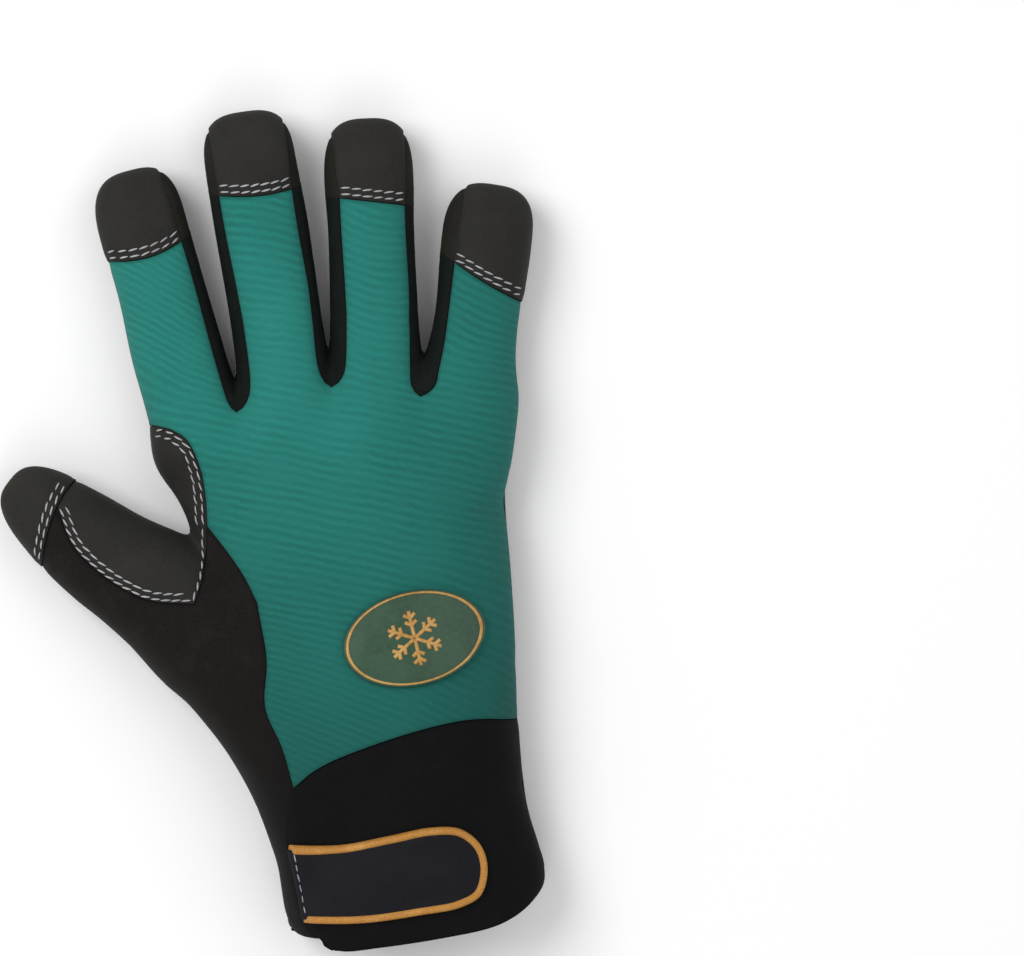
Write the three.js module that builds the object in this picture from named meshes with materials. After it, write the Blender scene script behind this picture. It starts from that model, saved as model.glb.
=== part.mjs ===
// A winter work glove for the right hand, lying palm down. Millimetres, +Z up.
// +Y points to the fingers, -X to the thumb, and z = 0 is the surface under the glove.
// Every fabric piece is a wall that follows one rounded hand form. Its edges are seams drawn in
// plan and lifted to the form's upper side or its underside. The two sides meet at the outline.

import * as THREE from 'three';

// Driving heights and thicknesses.
const OUTLINE_Z = 12;
const UNDERSIDE_Z = 1.3;
const BELLY_Z = -2.5;
const SEAM_GAP = 0.44;
const STRIP_GAP = 0.8;
const PAD_GAP = 0.36;
const WALLS = { knit: 1.8, palm: 1.6, side: 1.4, strip: 1.2, cuff: 2.4 };
const CAP_PROUD = 0.5;
const CAP_DEPTH = 1.2;
const PAD_THICKNESS = 1.0;

// Roundness of the sections: in plan, above the outline and below it.
const PLAN_POWER = 3.0;
const CROWN_POWER = 2.25;
const BELLY_POWER = 3.0;

// How softly the tubes of the form run into each other.
const BLEND = { fingers: 0.8, hand: 2.0, all: 2.3, floor: 0.8 };

// Each tube of the form: base point, lean to the left in degrees, where its ends round off, and
// rows of [distance along it, half width left, half width right, height of the top].
const TUBES = {
  body: tube([0, -131], 0, { start: -40, startLength: 20, end: 153, endLength: 20 }, [
    [-20, 20, 56, 33],
    [0, 20.8, 57, 34],
    [14, 23, 58.5, 35.5],
    [36, 22.8, 55.9, 36],
    [60, 24, 57.2, 37],
    [85, 26, 60, 37.5],
    [110, 28, 62.6, 36.5],
    [135, 33, 64.8, 33.5],
    [157, 38.5, 70, 30],
    [180, 41, 75, 27],
  ]),
  thenar: tube([-5, -88], 29.8, { start: 0, startLength: 14, end: 64, endLength: 22 }, [
    [-10, 19, 20, 33],
    [0, 19.5, 22, 34],
    [20, 15, 24, 34],
    [39, 12.8, 24, 33],
    [60, 13.2, 22, 31],
    [84, 14, 20, 29],
  ]),
  thumb: tube([-36.9, -28.1], 42.7, { start: 0, startLength: 16, end: 55, endLength: 19.5 }, [
    [-10, 17, 20, 31],
    [0, 17, 21.5, 30.5],
    [12, 15.2, 21.8, 29],
    [24, 14.4, 21, 27.5],
    [36, 14.4, 18.4, 25.5],
    [48, 13.4, 16.6, 24],
    [60, 11, 14.4, 22],
    [74, 8.5, 12, 19.5],
  ]),
  index: tube([-26.5, 34.4], 5.5, { start: 0, startLength: 14, end: 66, endLength: 16.6 }, [
    [0, 13.2, 14.6, 27],
    [24, 14.4, 14.2, 25],
    [45, 13.6, 13.5, 23.5],
    [66, 14, 13, 22],
    [83, 13, 12.5, 19.5],
  ]),
  middle: tube([2.2, 33.6], -1.3, { start: 0, startLength: 14, end: 80, endLength: 15.4 }, [
    [0, 14.4, 14.6, 29],
    [30, 14.2, 13.9, 26],
    [60, 15.2, 13.7, 23.5],
    [80, 15.6, 12.6, 22.5],
    [95, 15, 12, 19.5],
  ]),
  ring: tube([29, 29.4], -6.9, { start: 0, startLength: 14, end: 75, endLength: 17.3 }, [
    [0, 14.4, 14.4, 28.5],
    [36, 13.4, 13.6, 25],
    [58, 13.2, 13.4, 23.2],
    [74, 13.8, 13.8, 22],
    [92, 13, 13, 19],
  ]),
  little: tube([53.6, 22.4], -17.8, { start: 0, startLength: 14, end: 60, endLength: 15.6 }, [
    [0, 14.6, 14.5, 26.5],
    [14, 14, 14, 25.5],
    [34, 13, 13, 23.5],
    [54, 14.4, 13, 22],
    [64, 14.6, 12.6, 21.2],
    [76, 13.5, 12, 18.5],
  ]),
};

// Edges of the fingertip caps, as [left, middle, right] distances along each finger: on the back
// of the hand and on the palm side. The insets are how far the side strips reach in from the
// outline, and null means that the back and palm fabrics meet at the outline itself.
const FINGERS = [
  { name: 'index', top: [57.2, 54.9, 58.9], palm: [57.2, 54, 58.9], left: null, right: 3 },
  { name: 'middle', top: [71.5, 68.7, 70.4], palm: [71.5, 57, 70.4], left: 3.0, right: 2.6 },
  { name: 'ring', top: [68.7, 66.3, 64.9], palm: [68.7, 60, 64.9], left: 4.2, right: 2.4 },
  { name: 'little', top: [52.5, 45.4, 41.4], palm: [52.5, 43.5, 41.4], left: 5.0, right: null },
];
const PALM_INSET = 2.6;
const TIP_START = 1.5;
const THUMB_CAP = { top: [50.5, 57, 59], palm: [50.5, 48.5, 59], saddleShare: 0.22, underShare: 0.6 };

// Gaps between neighbouring fingers: the crotch at the outline, and the lowest point of the side
// strip on the back and on the palm side.
const CROTCHES = [
  { crotch: [-12.7, 48.6], top: [-13.7, 37.8], palm: [-12.6, 41] },
  { crotch: [17.3, 53], top: [16.4, 41.2], palm: [16.8, 43.5] },
  { crotch: [46.3, 47], top: [42.8, 34], palm: [44.4, 35.5] },
];

// Junctions of the seams, in plan.
const JOIN = {
  cuffLeft: [-25.5, -86],
  cuffTop: [-14.6, -78.6],
  cuffPalm: [-18.5, -73],
  cuffRight: [57.4, -69],
  spikeFoot: [-16.6, -21],
  spikeTip: [-28.3, 4.5],
  saddleCorner: [-35.5, -18.2],
  saddleTop: [-34.7, 36.3],
  saddlePalm: [-36, 34.5],
  saddleEnd: [-41, 38],
  thumbHeel: [-55.5, -32],
  webPalm: [-32, -5],
  thumbWeb: [-32, 0.4],
  heelPalm: [-50, -29.5],
  littleBase: [71, 28],
};

// Distances along a finger from its base: where the side seams leave the web, and how much
// further up the outline does. The toe is how far a strip's round end reaches sideways and up,
// and the seam above it starts at least a little further along the finger.
const WEB_REACH = 10;
const CROTCH_RISE = 14;
const TOE = [2.0, 3.5];
const TOE_CLEAR = 3.5;

// Seams between those junctions: only the points that each one passes on its way.
const SEAM = {
  cuffTopLeft: [JOIN.cuffLeft, [-20, -82], JOIN.cuffTop],
  cuffTop: [JOIN.cuffTop, [-6.1, -73.8], [12.2, -69.2], [40.1, -66.3], JOIN.cuffRight],
  cuffPalmLeft: [JOIN.cuffLeft, [-23, -78], JOIN.cuffPalm],
  cuffPalm: [JOIN.cuffPalm, [3, -74.5], [32, -77.5], [50, -74], JOIN.cuffRight],
  greenLow: [JOIN.cuffTop, [-16.2, -66], [-19.3, -53], [-16.6, -39], JOIN.spikeFoot],
  greenSpike: [JOIN.spikeFoot, [-19.6, -12.3], JOIN.spikeTip],
  greenHigh: [JOIN.spikeTip, [-27.4, 14], [-28, 25], [-30.6, 32], JOIN.saddleTop],
  saddleEndTop: [JOIN.saddleTop, JOIN.saddleEnd],
  saddleEndPalm: [JOIN.saddlePalm, JOIN.saddleEnd],
  saddleSpike: [JOIN.saddleCorner, [-31.6, -10.4], JOIN.spikeTip],
  thumbBaseTop: [JOIN.thumbHeel, [-46, -24], JOIN.saddleCorner],
  spikeBase: [JOIN.saddleCorner, [-27, -20], JOIN.spikeFoot],
  heelBand: [JOIN.thumbHeel, JOIN.heelPalm],
  palmBase: [JOIN.heelPalm, [-42, -20.5], [-36, -12.5], JOIN.webPalm],
  palmThenar: [JOIN.cuffPalm, [-24, -66], [-31, -56], [-40, -46], [-48, -37], JOIN.heelPalm],
  saddleBack: [JOIN.saddleCorner, [-48.8, -15.4], [-57.2, -10.1], [-64.7, -2.7], [-70.1, 5.6]],
  saddleUnder: [JOIN.webPalm, [-41, 0.5], [-52, 8.5]],
  palmWeb: [JOIN.webPalm, [-28.3, 0.6], [-32, 16], [-34, 27], JOIN.saddlePalm],
  ulnarSide: [JOIN.cuffRight, [60, -46.6], [62.6, -20], [64.8, 4], [70, 22], JOIN.littleBase],
  thumbOuter: [JOIN.thumbHeel, [-62.2, -23], [-68.5, -15.5], [-75.5, -7]],
  thenarOuter: [JOIN.cuffLeft, [-30.2, -75], [-36.5, -61], [-45.8, -46], JOIN.thumbHeel],
  webThumb: [[-57, 18.6], [-47.7, 10.9], [-37.5, 4], JOIN.thumbWeb],
  webIndex: [JOIN.thumbWeb, [-35.5, 9], [-38.2, 22], JOIN.saddleEnd],
};

// The lower hem of the cuff, from the thumb side to the other side.
const HEM = [[-23.5, -119], [-21, -124], [-13, -126.5], [-9, -130], [4, -130.9], [24, -131],
  [42, -129.6], [52, -125.6], [57.4, -120.5], [58.6, -114]];

// Palm pads, each with four sides in plan: south and north run to +X, west and east to +Y.
const PALM_PADS = {
  palm_pad_upper: {
    south: [[-25, -1], [-14.9, 4.6], [4.6, 10], [26.2, 3.7], [43, -4], [55, -8]],
    north: [[-28.5, 19.5], [-14.7, 29.6], [4, 33.6], [7.6, 30.5], [3.2, 21.5], [18, 23], [34, 25], [57, 19]],
    west: [[-25, -1], [-28.5, 8], [-28.5, 19.5]],
    east: [[55, -8], [58, 5], [57, 19]],
  },
  palm_pad_heel: {
    south: [[-3.5, -70], [12, -71.2], [30, -71.5], [51, -68.5]],
    north: [[-1.5, 1.5], [5, 4.8], [14.1, 1.4], [39, -10.5], [55, -15.5]],
    west: [[-3.5, -70], [16, -55.1], [27, -42], [27.5, -31], [18.7, -15.8], [2.7, -5.5], [-1.5, 1.5]],
    east: [[51, -68.5], [53.5, -45], [55, -15.5]],
  },
  palm_pad_thenar: {
    south: [[-19.2, -64.6], [-15.5, -65]],
    north: [[-27.3, -9.5], [-19.5, -3.5], [-12, 1.2]],
    west: [[-19.2, -64.6], [-28.5, -53], [-37.5, -38], [-30, -25], [-27.3, -9.5]],
    east: [[-15.5, -65], [6.4, -52.5], [18.5, -40], [19, -28], [4, -14.5], [-6, -5], [-12, 1.2]],
  },
};

// Patches on the palm side of each digit: [left, middle, right] of the lower and upper edges.
const DIGIT_PATCHES = [
  { name: 'index_patch_mid', digit: 'index', low: [28.6, 29.3, 32], high: [36, 46, 50] },
  { name: 'index_patch_base', digit: 'index', low: [4, 2, 7], high: [21, 20.7, 23] },
  { name: 'middle_patch_mid', digit: 'middle', low: [29.5, 32, 34.5], high: [60, 48.5, 59] },
  { name: 'middle_patch_base', digit: 'middle', low: [15, 5, 12], high: [26.3, 25.6, 25] },
  { name: 'ring_patch_mid', digit: 'ring', low: [35.5, 33.8, 33], high: [57, 52, 49] },
  { name: 'ring_patch_base', digit: 'ring', low: [13, 7, 8], high: [31, 26, 21] },
  { name: 'little_patch_mid', digit: 'little', low: [28, 26, 24], high: [38.5, 37, 35.5] },
  { name: 'little_patch_base', digit: 'little', low: [11.5, 6.5, 6], high: [23, 21, 19] },
  { name: 'thumb_patch', digit: 'thumb', low: [11, 12, 17], high: [43, 40, 46] },
];
const PATCH_REACH = 0.78;

// The strap over the cuff, its bright binding, and the two oval badges.
const STRAP = { left: -15.4, right: 40, low: -121.4, high: -96.8, thickness: 1.5 };
const BINDING = { width: 2.8, height: 1.5 };
const BACK_BADGE = { centre: [28.9, -39], half: [21.3, 13.8], turn: 4.5, rim: 1.9, plate: 1.2 };
const CUFF_BADGE = { centre: [20.5, -107], half: [7.4, 16.2], turn: 3, rim: 0.65, plate: 0.4 };
const BADGE_RIM_WIDTH = 0.12;
const RIM_SLOPE = 0.02;

// How finely the seams and strips are divided, and how much a line's steps shorten at its end.
const END_EASE = 0.55;
const STEPS = {
  column: 5, finger: 5, across: 2, low: 5, spike: 2, high: 4, end: 3, thumb: 5, thumbBack: 4,
  heelBand: 2, palmBase: 2, cap: 4, cuff: 4, pad: [10, 5], digitPatch: [4, 3], strap: [10, 3], badge: 16,
};

const MATERIALS = {
  knit: material('#2a7f73', 0.85),
  leather: material('#33322f', 0.6),
  side: material('#1f1f20', 0.85),
  cuff: material('#17171a', 0.8),
  strap: material('#2c2b29', 0.6),
  binding: material('#cc9a52', 0.55),
  badge: material('#5f7a50', 0.45),
};

function material(colour, roughness) {
  return new THREE.MeshStandardMaterial({ color: colour, roughness, metalness: 0 });
}

function tube(base, leanDegrees, ends, rows) {
  const lean = THREE.MathUtils.degToRad(leanDegrees);
  const along = [-Math.sin(lean), Math.cos(lean)];
  const side = [Math.cos(lean), Math.sin(lean)];
  return { base, along, side, ends, rows };
}

// The row at distance s, by smooth cubic steps between the rows of the table.
function rowAt(rows, s) {
  const last = rows.length - 1;
  if (s <= rows[0][0]) return rows[0].slice(1);
  if (s >= rows[last][0]) return rows[last].slice(1);
  let i = 0;
  while (rows[i + 1][0] < s) i += 1;
  const step = rows[i + 1][0] - rows[i][0];
  const t = (s - rows[i][0]) / step;
  const slope = (k, column) => {
    const low = rows[Math.max(k - 1, 0)];
    const high = rows[Math.min(k + 1, last)];
    return ((high[column] - low[column]) / (high[0] - low[0])) * step;
  };
  return [1, 2, 3].map((column) => {
    const start = rows[i][column];
    const end = rows[i + 1][column];
    const rise = end - start;
    const first = slope(i, column);
    const second = slope(i + 1, column);
    return start + t * (first + t * (3 * rise - 2 * first - second + t * (first + second - 2 * rise)));
  });
}

// Below 0 inside the tube, 0 on its surface and above 0 outside, about in millimetres.
function tubeField(part, x, y, z) {
  const dx = x - part.base[0];
  const dy = y - part.base[1];
  const s = dx * part.along[0] + dy * part.along[1];
  const c = dx * part.side[0] + dy * part.side[1];
  const [left, right, top] = rowAt(part.rows, s);
  const width = (left + right) / 2;
  const { start, startLength, end, endLength } = part.ends;
  const past = Math.max(0, (s - end) / endLength, (start - s) / startLength);
  const across = Math.abs(c - (right - left) / 2) / width;
  const plan = (across ** PLAN_POWER + past ** PLAN_POWER) ** (1 / PLAN_POWER);
  const above = z > OUTLINE_Z;
  const height = above ? top - OUTLINE_Z : OUTLINE_Z - BELLY_Z;
  const power = above ? CROWN_POWER : BELLY_POWER;
  const level = (plan ** power + (Math.abs(z - OUTLINE_Z) / height) ** power) ** (1 / power);
  return (level - 1) * Math.min(width, top - OUTLINE_Z);
}

function softMin(values, softness) {
  const lowest = Math.min(...values);
  const sum = values.reduce((total, value) => total + Math.exp((lowest - value) / softness), 0);
  return lowest - softness * Math.log(sum);
}

// The whole hand form: the tubes run together, and it is flat where it lies.
function field(x, y, z) {
  const at = (name) => tubeField(TUBES[name], x, y, z);
  const fingers = softMin([at('index'), at('middle'), at('ring'), at('little')], BLEND.fingers);
  const hand = softMin([at('body'), at('thenar'), at('thumb')], BLEND.hand);
  const form = softMin([fingers, hand], BLEND.all);
  return -softMin([-form, z - UNDERSIDE_Z], BLEND.floor);
}

function gradient([x, y, z]) {
  const h = 0.02;
  return new THREE.Vector3(
    field(x + h, y, z) - field(x - h, y, z),
    field(x, y + h, z) - field(x, y - h, z),
    field(x, y, z + h) - field(x, y, z - h),
  ).divideScalar(2 * h);
}

// Moves a point along the form's slope until it lies on the surface.
function settle(point, rounds = 5) {
  let [x, y, z] = point;
  for (let round = 0; round < rounds; round += 1) {
    const value = field(x, y, z);
    if (Math.abs(value) < 1e-5) break;
    const slope = gradient([x, y, z]);
    const scale = value / Math.max(slope.lengthSq(), 0.01);
    x -= slope.x * scale;
    y -= slope.y * scale;
    z -= slope.z * scale;
  }
  return [x, y, z];
}

// The surface above or below a point of the plan.
function lift([x, y], up) {
  if (field(x, y, OUTLINE_Z) > -0.004) return settle([x, y, OUTLINE_Z]);
  let inside = OUTLINE_Z;
  let outside = up ? 60 : -20;
  for (let round = 0; round < 34; round += 1) {
    const middle = (inside + outside) / 2;
    if (field(x, y, middle) < 0) inside = middle;
    else outside = middle;
  }
  return [x, y, inside];
}

// Curves in plan. A line is divided evenly, an outline is moved onto the form's outline.
function line(points, count) {
  return lineAt(points, Array.from({ length: count + 1 }, (_, i) => i / count));
}

// The points of a smooth line at the given shares of its length.
function lineAt(points, at) {
  const curve = new THREE.CatmullRomCurve3(
    points.map(([x, y]) => new THREE.Vector3(x, y, 0)), false, 'centripetal');
  return at.map((share) => curve.getPointAt(share)).map((p) => [p.x, p.y]);
}

function outline(points, count) {
  return line(points, count).map(onOutline);
}

function onOutline([x, y]) {
  const settled = settle([x, y, OUTLINE_Z], 12);
  return [settled[0], settled[1]];
}

function chain(...lines) {
  return lines.reduce((all, next) => all.concat(next.slice(1)));
}

function reversed(points) {
  return [...points].reverse();
}

// Shares of the length at each point of a line, from 0 to 1.
function shares(points) {
  const sums = [0];
  for (let i = 1; i < points.length; i += 1) {
    const step = Math.hypot(points[i][0] - points[i - 1][0], points[i][1] - points[i - 1][1]);
    sums.push(sums[i - 1] + step);
  }
  const total = sums[sums.length - 1] || 1;
  return sums.map((sum) => sum / total);
}

// A four-sided patch of the plan that meets its four edges exactly, lifted to one side of the form.
function patch(south, north, west, east, up) {
  const columns = south.length - 1;
  const rows = west.length - 1;
  if (north.length !== south.length || east.length !== west.length) {
    throw new Error(`patch edges differ: ${[south, north, west, east].map((edge) => edge.length)}`);
  }
  const along = [shares(south), shares(north)];
  const beside = [shares(west), shares(east)];
  const mix = (p, q, t) => [p[0] + (q[0] - p[0]) * t, p[1] + (q[1] - p[1]) * t];
  const place = (i, j) => {
    const guess = beside[0][j] + (beside[1][j] - beside[0][j]) * (i / columns);
    const u = along[0][i] + (along[1][i] - along[0][i]) * guess;
    const v = beside[0][j] + (beside[1][j] - beside[0][j]) * u;
    const upright = mix(south[i], north[i], v);
    const level = mix(west[j], east[j], u);
    const corners = mix(mix(south[0], south[columns], u), mix(north[0], north[columns], u), v);
    return [upright[0] + level[0] - corners[0], upright[1] + level[1] - corners[1]];
  };
  const edgeAt = (i, j) => {
    if (j === 0) return south[i];
    if (j === rows) return north[i];
    if (i === 0) return west[j];
    return i === columns ? east[j] : null;
  };
  return Array.from({ length: rows + 1 }, (_, j) => Array.from({ length: columns + 1 }, (__, i) => (
    lift(edgeAt(i, j) || place(i, j), up))));
}

// Joins grids of points into one open surface whose triangles face away from the hand.
function surface(grids) {
  const vertices = [];
  const faces = [];
  const known = new Map();
  const indexOf = (point) => {
    const key = point.map((value) => Math.round(value * 500)).join(' ');
    if (!known.has(key)) {
      known.set(key, vertices.length);
      vertices.push(new THREE.Vector3(...point));
    }
    return known.get(key);
  };
  grids.forEach((grid) => {
    const own = [];
    const index = grid.map((row) => row.map(indexOf));
    for (let j = 0; j + 1 < index.length; j += 1) {
      for (let i = 0; i + 1 < index[j].length; i += 1) {
        const [a, b] = [index[j][i], index[j][i + 1]];
        const [d, c] = [index[j + 1][i], index[j + 1][i + 1]];
        const firstWay = vertices[a].distanceTo(vertices[c]) <= vertices[b].distanceTo(vertices[d]);
        own.push(...(firstWay ? [[a, b, c], [a, c, d]] : [[a, b, d], [b, c, d]]));
      }
    }
    const real = own.filter(([a, b, c]) => a !== b && b !== c && c !== a);
    const outwards = real.reduce((sum, face) => sum + facing(vertices, face), 0) > 0;
    faces.push(...real.map(([a, b, c]) => (outwards ? [a, b, c] : [a, c, b])));
  });
  return { vertices, faces };
}

// Positive where a triangle faces away from the hand, by its area.
function facing(vertices, [a, b, c]) {
  const [p, q, r] = [a, b, c].map((index) => vertices[index]);
  const normal = q.clone().sub(p).cross(r.clone().sub(p));
  return normal.dot(gradient(p.clone().add(q).add(r).divideScalar(3).toArray()));
}

// The edges that only one triangle has, in that triangle's direction.
function openEdges(faces) {
  const edges = new Map();
  faces.forEach(([a, b, c]) => [[a, b], [b, c], [c, a]].forEach(([p, q]) => {
    if (edges.has(`${q} ${p}`)) edges.delete(`${q} ${p}`);
    else edges.set(`${p} ${q}`, { p, q, face: [a, b, c] });
  }));
  return [...edges.values()];
}

// Draws the open edges in by half a seam gap, so that neighbouring pieces stay apart.
function drawIn({ vertices, faces }, gap) {
  const pulls = new Map();
  openEdges(faces).forEach(({ p, q, face }) => {
    const [a, b, c] = face.map((index) => vertices[index]);
    const normal = b.clone().sub(a).cross(c.clone().sub(a)).normalize();
    const inward = normal.cross(vertices[q].clone().sub(vertices[p])).normalize();
    [p, q].forEach((index) => pulls.set(index, [...(pulls.get(index) || []), inward]));
  });
  pulls.forEach((list, index) => {
    const sum = list.reduce((total, pull) => total.add(pull), new THREE.Vector3());
    const half = Math.max(sum.length() / list.length, 0.45);
    const moved = vertices[index].clone().addScaledVector(sum.normalize(), gap / 2 / half);
    vertices[index] = new THREE.Vector3(...settle(moved.toArray()));
  });
  return { vertices, faces };
}

// A closed solid between two offsets from a surface, with a rim along its open edges.
function thicken({ vertices, faces }, inner, outer) {
  const normals = vertices.map((vertex) => gradient(vertex.toArray()).normalize());
  const count = vertices.length;
  const offsetAt = (offset, i) => (typeof offset === 'number' ? offset : offset(vertices[i]));
  const shifted = (offset) => vertices.map((vertex, i) => (
    vertex.clone().addScaledVector(normals[i], offsetAt(offset, i))));
  const positions = [...shifted(outer), ...shifted(inner)].flatMap((vertex) => vertex.toArray());
  const index = faces.flatMap(([a, b, c]) => [a, b, c, a + count, c + count, b + count]);
  openEdges(faces).forEach(({ p, q }) => index.push(q, p, p + count, q, p + count, q + count));
  const geometry = new THREE.BufferGeometry();
  geometry.setAttribute('position', new THREE.Float32BufferAttribute(positions, 3));
  geometry.setIndex(index);
  geometry.computeVertexNormals();
  return geometry;
}

const glove = new THREE.Group();
glove.name = 'winter_work_glove';

function add(name, geometry, finish) {
  const mesh = new THREE.Mesh(geometry, finish);
  mesh.name = name;
  glove.add(mesh);
}

function addWall(name, grids, wall, finish, { proud = 0, gap = SEAM_GAP } = {}) {
  add(name, thicken(drawIn(surface(grids), gap), -wall, proud), finish);
}

function addOverlay(name, grids, thickness, finish) {
  const top = typeof thickness === 'number' ? PAD_GAP + thickness : (point) => PAD_GAP + thickness(point);
  add(name, thicken(surface(grids), PAD_GAP, top), finish);
}

// A point of the plan on a digit: s along it, and across from -1 at its left to 1 at its right.
function onDigit(part, s, across) {
  const [left, right] = rowAt(part.rows, s);
  const c = (right - left) / 2 + (across * (left + right)) / 2;
  return [0, 1].map((k) => part.base[k] + s * part.along[k] + c * part.side[k]);
}

// The value of a [left, middle, right] row at a share across, on a smooth curve.
function acrossRow([left, middle, right], across) {
  return middle + ((right - left) / 2) * across + ((left + right) / 2 - middle) * across ** 2;
}

// The share across a digit that lies an inset in from its left (-1) or right (1) outline.
function insetShare(part, s, inset, sign) {
  const [left, right] = rowAt(part.rows, s);
  return sign * (1 - inset / ((left + right) / 2));
}

// Shares across a digit from one share to another, closer together towards its sides.
function spread(from, to, count) {
  const [first, last] = [Math.acos(-from), Math.acos(-to)];
  return Array.from({ length: count + 1 }, (_, i) => -Math.cos(first + ((last - first) * i) / count));
}

// The edge of a cap in parts, from left to right, split at the given shares across.
function capEdge(part, row, splits, counts) {
  const lists = counts.map((count, k) => spread(splits[k], splits[k + 1], count));
  const parts = lists.map((list) => list.map((across) => onDigit(part, acrossRow(row, across), across)));
  const last = parts[parts.length - 1];
  parts[0][0] = onOutline(parts[0][0]);
  last[last.length - 1] = onOutline(last[last.length - 1]);
  return { lists, parts, whole: chain(...parts) };
}

// The outline round a fingertip, from just past one end of its cap's edge to just past the other.
function tipLine(part, row, count) {
  const { end, endLength } = part.ends;
  const [first, last] = [row[0], row[2]].map((s) => {
    const past = Math.max(0, (s + TIP_START - end) / endLength);
    return Math.atan2(past, (1 - past ** PLAN_POWER) ** (1 / PLAN_POWER));
  });
  return Array.from({ length: count + 1 }, (_, i) => {
    const angle = first + ((Math.PI - last - first) * i) / count;
    const [across, past] = [-Math.cos(angle), Math.sin(angle)];
    const reach = (Math.abs(across) ** PLAN_POWER + past ** PLAN_POWER) ** (1 / PLAN_POWER);
    return onOutline(onDigit(part, end + (past / reach) * endLength, across / reach));
  });
}

// The two grids of a cap: the edges run to the outline of the fingertip.
function capGrids(part, row, top, palm) {
  const columns = top.whole.length - 1;
  const tip = tipLine(part, row, columns);
  const rows = Array.from({ length: STEPS.cap + 1 }, (_, i) => Math.sin((Math.PI / 2) * (i / STEPS.cap)));
  const sideLine = (k) => (
    pinned(lineAt([top.whole[k], tip[k]], rows).map(onOutline), top.whole[k], tip[k]));
  const [west, east] = [sideLine(0), sideLine(columns)];
  return [patch(top.whole, tip, west, east, true), patch(palm.whole, tip, west, east, false)];
}

function pinned(points, start, end) {
  const copy = [...points];
  if (start) [copy[0]] = [start];
  if (end) copy[copy.length - 1] = end;
  return copy;
}

// Junctions that lie on the outline.
const webs = CROTCHES.map((web) => ({ ...web, crotch: onOutline(web.crotch) }));
const rim = {
  cuffLeft: onOutline(JOIN.cuffLeft),
  cuffRight: onOutline(JOIN.cuffRight),
  thumbHeel: onOutline(JOIN.thumbHeel),
  thumbWeb: onOutline(JOIN.thumbWeb),
  saddleEnd: onOutline(JOIN.saddleEnd),
  littleBase: onOutline(JOIN.littleBase),
};

// A finger's cap edges and its two sides. Each side has its seam on the back, its outline and its
// seam on the palm, all from the web to the cap; an outer side has the outline for all three.
function fingerParts(finger, k) {
  const part = TUBES[finger.name];
  const insets = [finger.left, finger.right];
  const edgeOf = (row, insetAt) => {
    const splits = [-1, 1].map((sign, side) => (insets[side] === null
      ? sign : insetShare(part, acrossRow(row, sign), insetAt(side), sign)));
    const full = insets.map((inset) => inset !== null);
    const shareList = [full[0] ? [-1] : [], splits, full[1] ? [1] : []].flat();
    const counts = [full[0] ? [STEPS.across] : [], STEPS.column, full[1] ? [STEPS.across] : []].flat();
    const edge = capEdge(part, row, shareList, counts);
    const panel = full[0] ? 1 : 0;
    return { ...edge, panel: edge.parts[panel], panelShares: edge.lists[panel],
      left: full[0] ? edge.parts[0] : null, right: full[1] ? edge.parts[panel + 1] : null };
  };
  const top = edgeOf(finger.top, (side) => insets[side]);
  const palm = edgeOf(finger.palm, () => PALM_INSET);
  const capStart = Math.min(...finger.top);
  const side = (sign, web, inset) => {
    const tipPoint = sign < 0 ? top.whole[0] : top.whole[top.whole.length - 1];
    const [near, far] = [WEB_REACH, (WEB_REACH + capStart) / 2];
    const seam = (edge, depth, foot) => {
      const toe = [foot[0] - sign * TOE[0], foot[1] + TOE[1]];
      const reached = [0, 1].reduce((sum, k) => sum + (toe[k] - part.base[k]) * part.along[k], 0);
      const free = Math.max(near, reached + TOE_CLEAR);
      const sides = [free, Math.max(far, free + TOE_CLEAR)];
      return line([
        foot,
        toe,
        ...sides.map((s) => onDigit(part, s, insetShare(part, s, depth, sign))),
        sign < 0 ? edge.panel[0] : edge.panel[STEPS.column],
      ], STEPS.finger);
    };
    if (!web) {
      const foot = sign < 0 ? rim.saddleEnd : rim.littleBase;
      const outer = pinned(outline([foot, onDigit(part, far, sign), tipPoint], STEPS.finger), foot, tipPoint);
      return { top: outer, middle: outer, palm: outer };
    }
    const free = [near + CROTCH_RISE, (near + CROTCH_RISE + capStart) / 2].map((s) => onDigit(part, s, sign));
    return {
      top: seam(top, inset, web.top),
      middle: pinned(outline([web.crotch, ...free, tipPoint], STEPS.finger), web.crotch, tipPoint),
      palm: seam(palm, PALM_INSET, web.palm),
    };
  };
  return { ...finger, part, edges: { top, palm },
    leftSide: side(-1, webs[k - 1], finger.left), rightSide: side(1, webs[k], finger.right) };
}

const fingers = FINGERS.map(fingerParts);

// The line where a finger starts, spaced like its cap's edge.
function fingerFoot(finger, level) {
  const [start, end] = [finger.leftSide[level][0], finger.rightSide[level][0]];
  const spacing = finger.edges[level].panelShares;
  const width = spacing[STEPS.column] - spacing[0];
  return spacing.map((value) => [0, 1].map((k) => (
    start[k] + ((end[k] - start[k]) * (value - spacing[0])) / width)));
}

function fingerGrid(finger, level) {
  return patch(fingerFoot(finger, level), finger.edges[level].panel,
    finger.leftSide[level], finger.rightSide[level], level === 'top');
}

// A line whose steps shorten towards its end, where the form turns down to its outline.
function easedLine(points, count) {
  return lineAt(points, Array.from({ length: count + 1 }, (_, i) => (
    (1 - END_EASE) * (i / count) + END_EASE * Math.sin((Math.PI / 2) * (i / count)))));
}

// A line whose steps shorten towards both ends.
function bothEndsEased(points, count) {
  return lineAt(points, Array.from({ length: count + 1 }, (_, i) => (
    (1 - Math.cos((Math.PI * i) / count)) / 2)));
}

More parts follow.
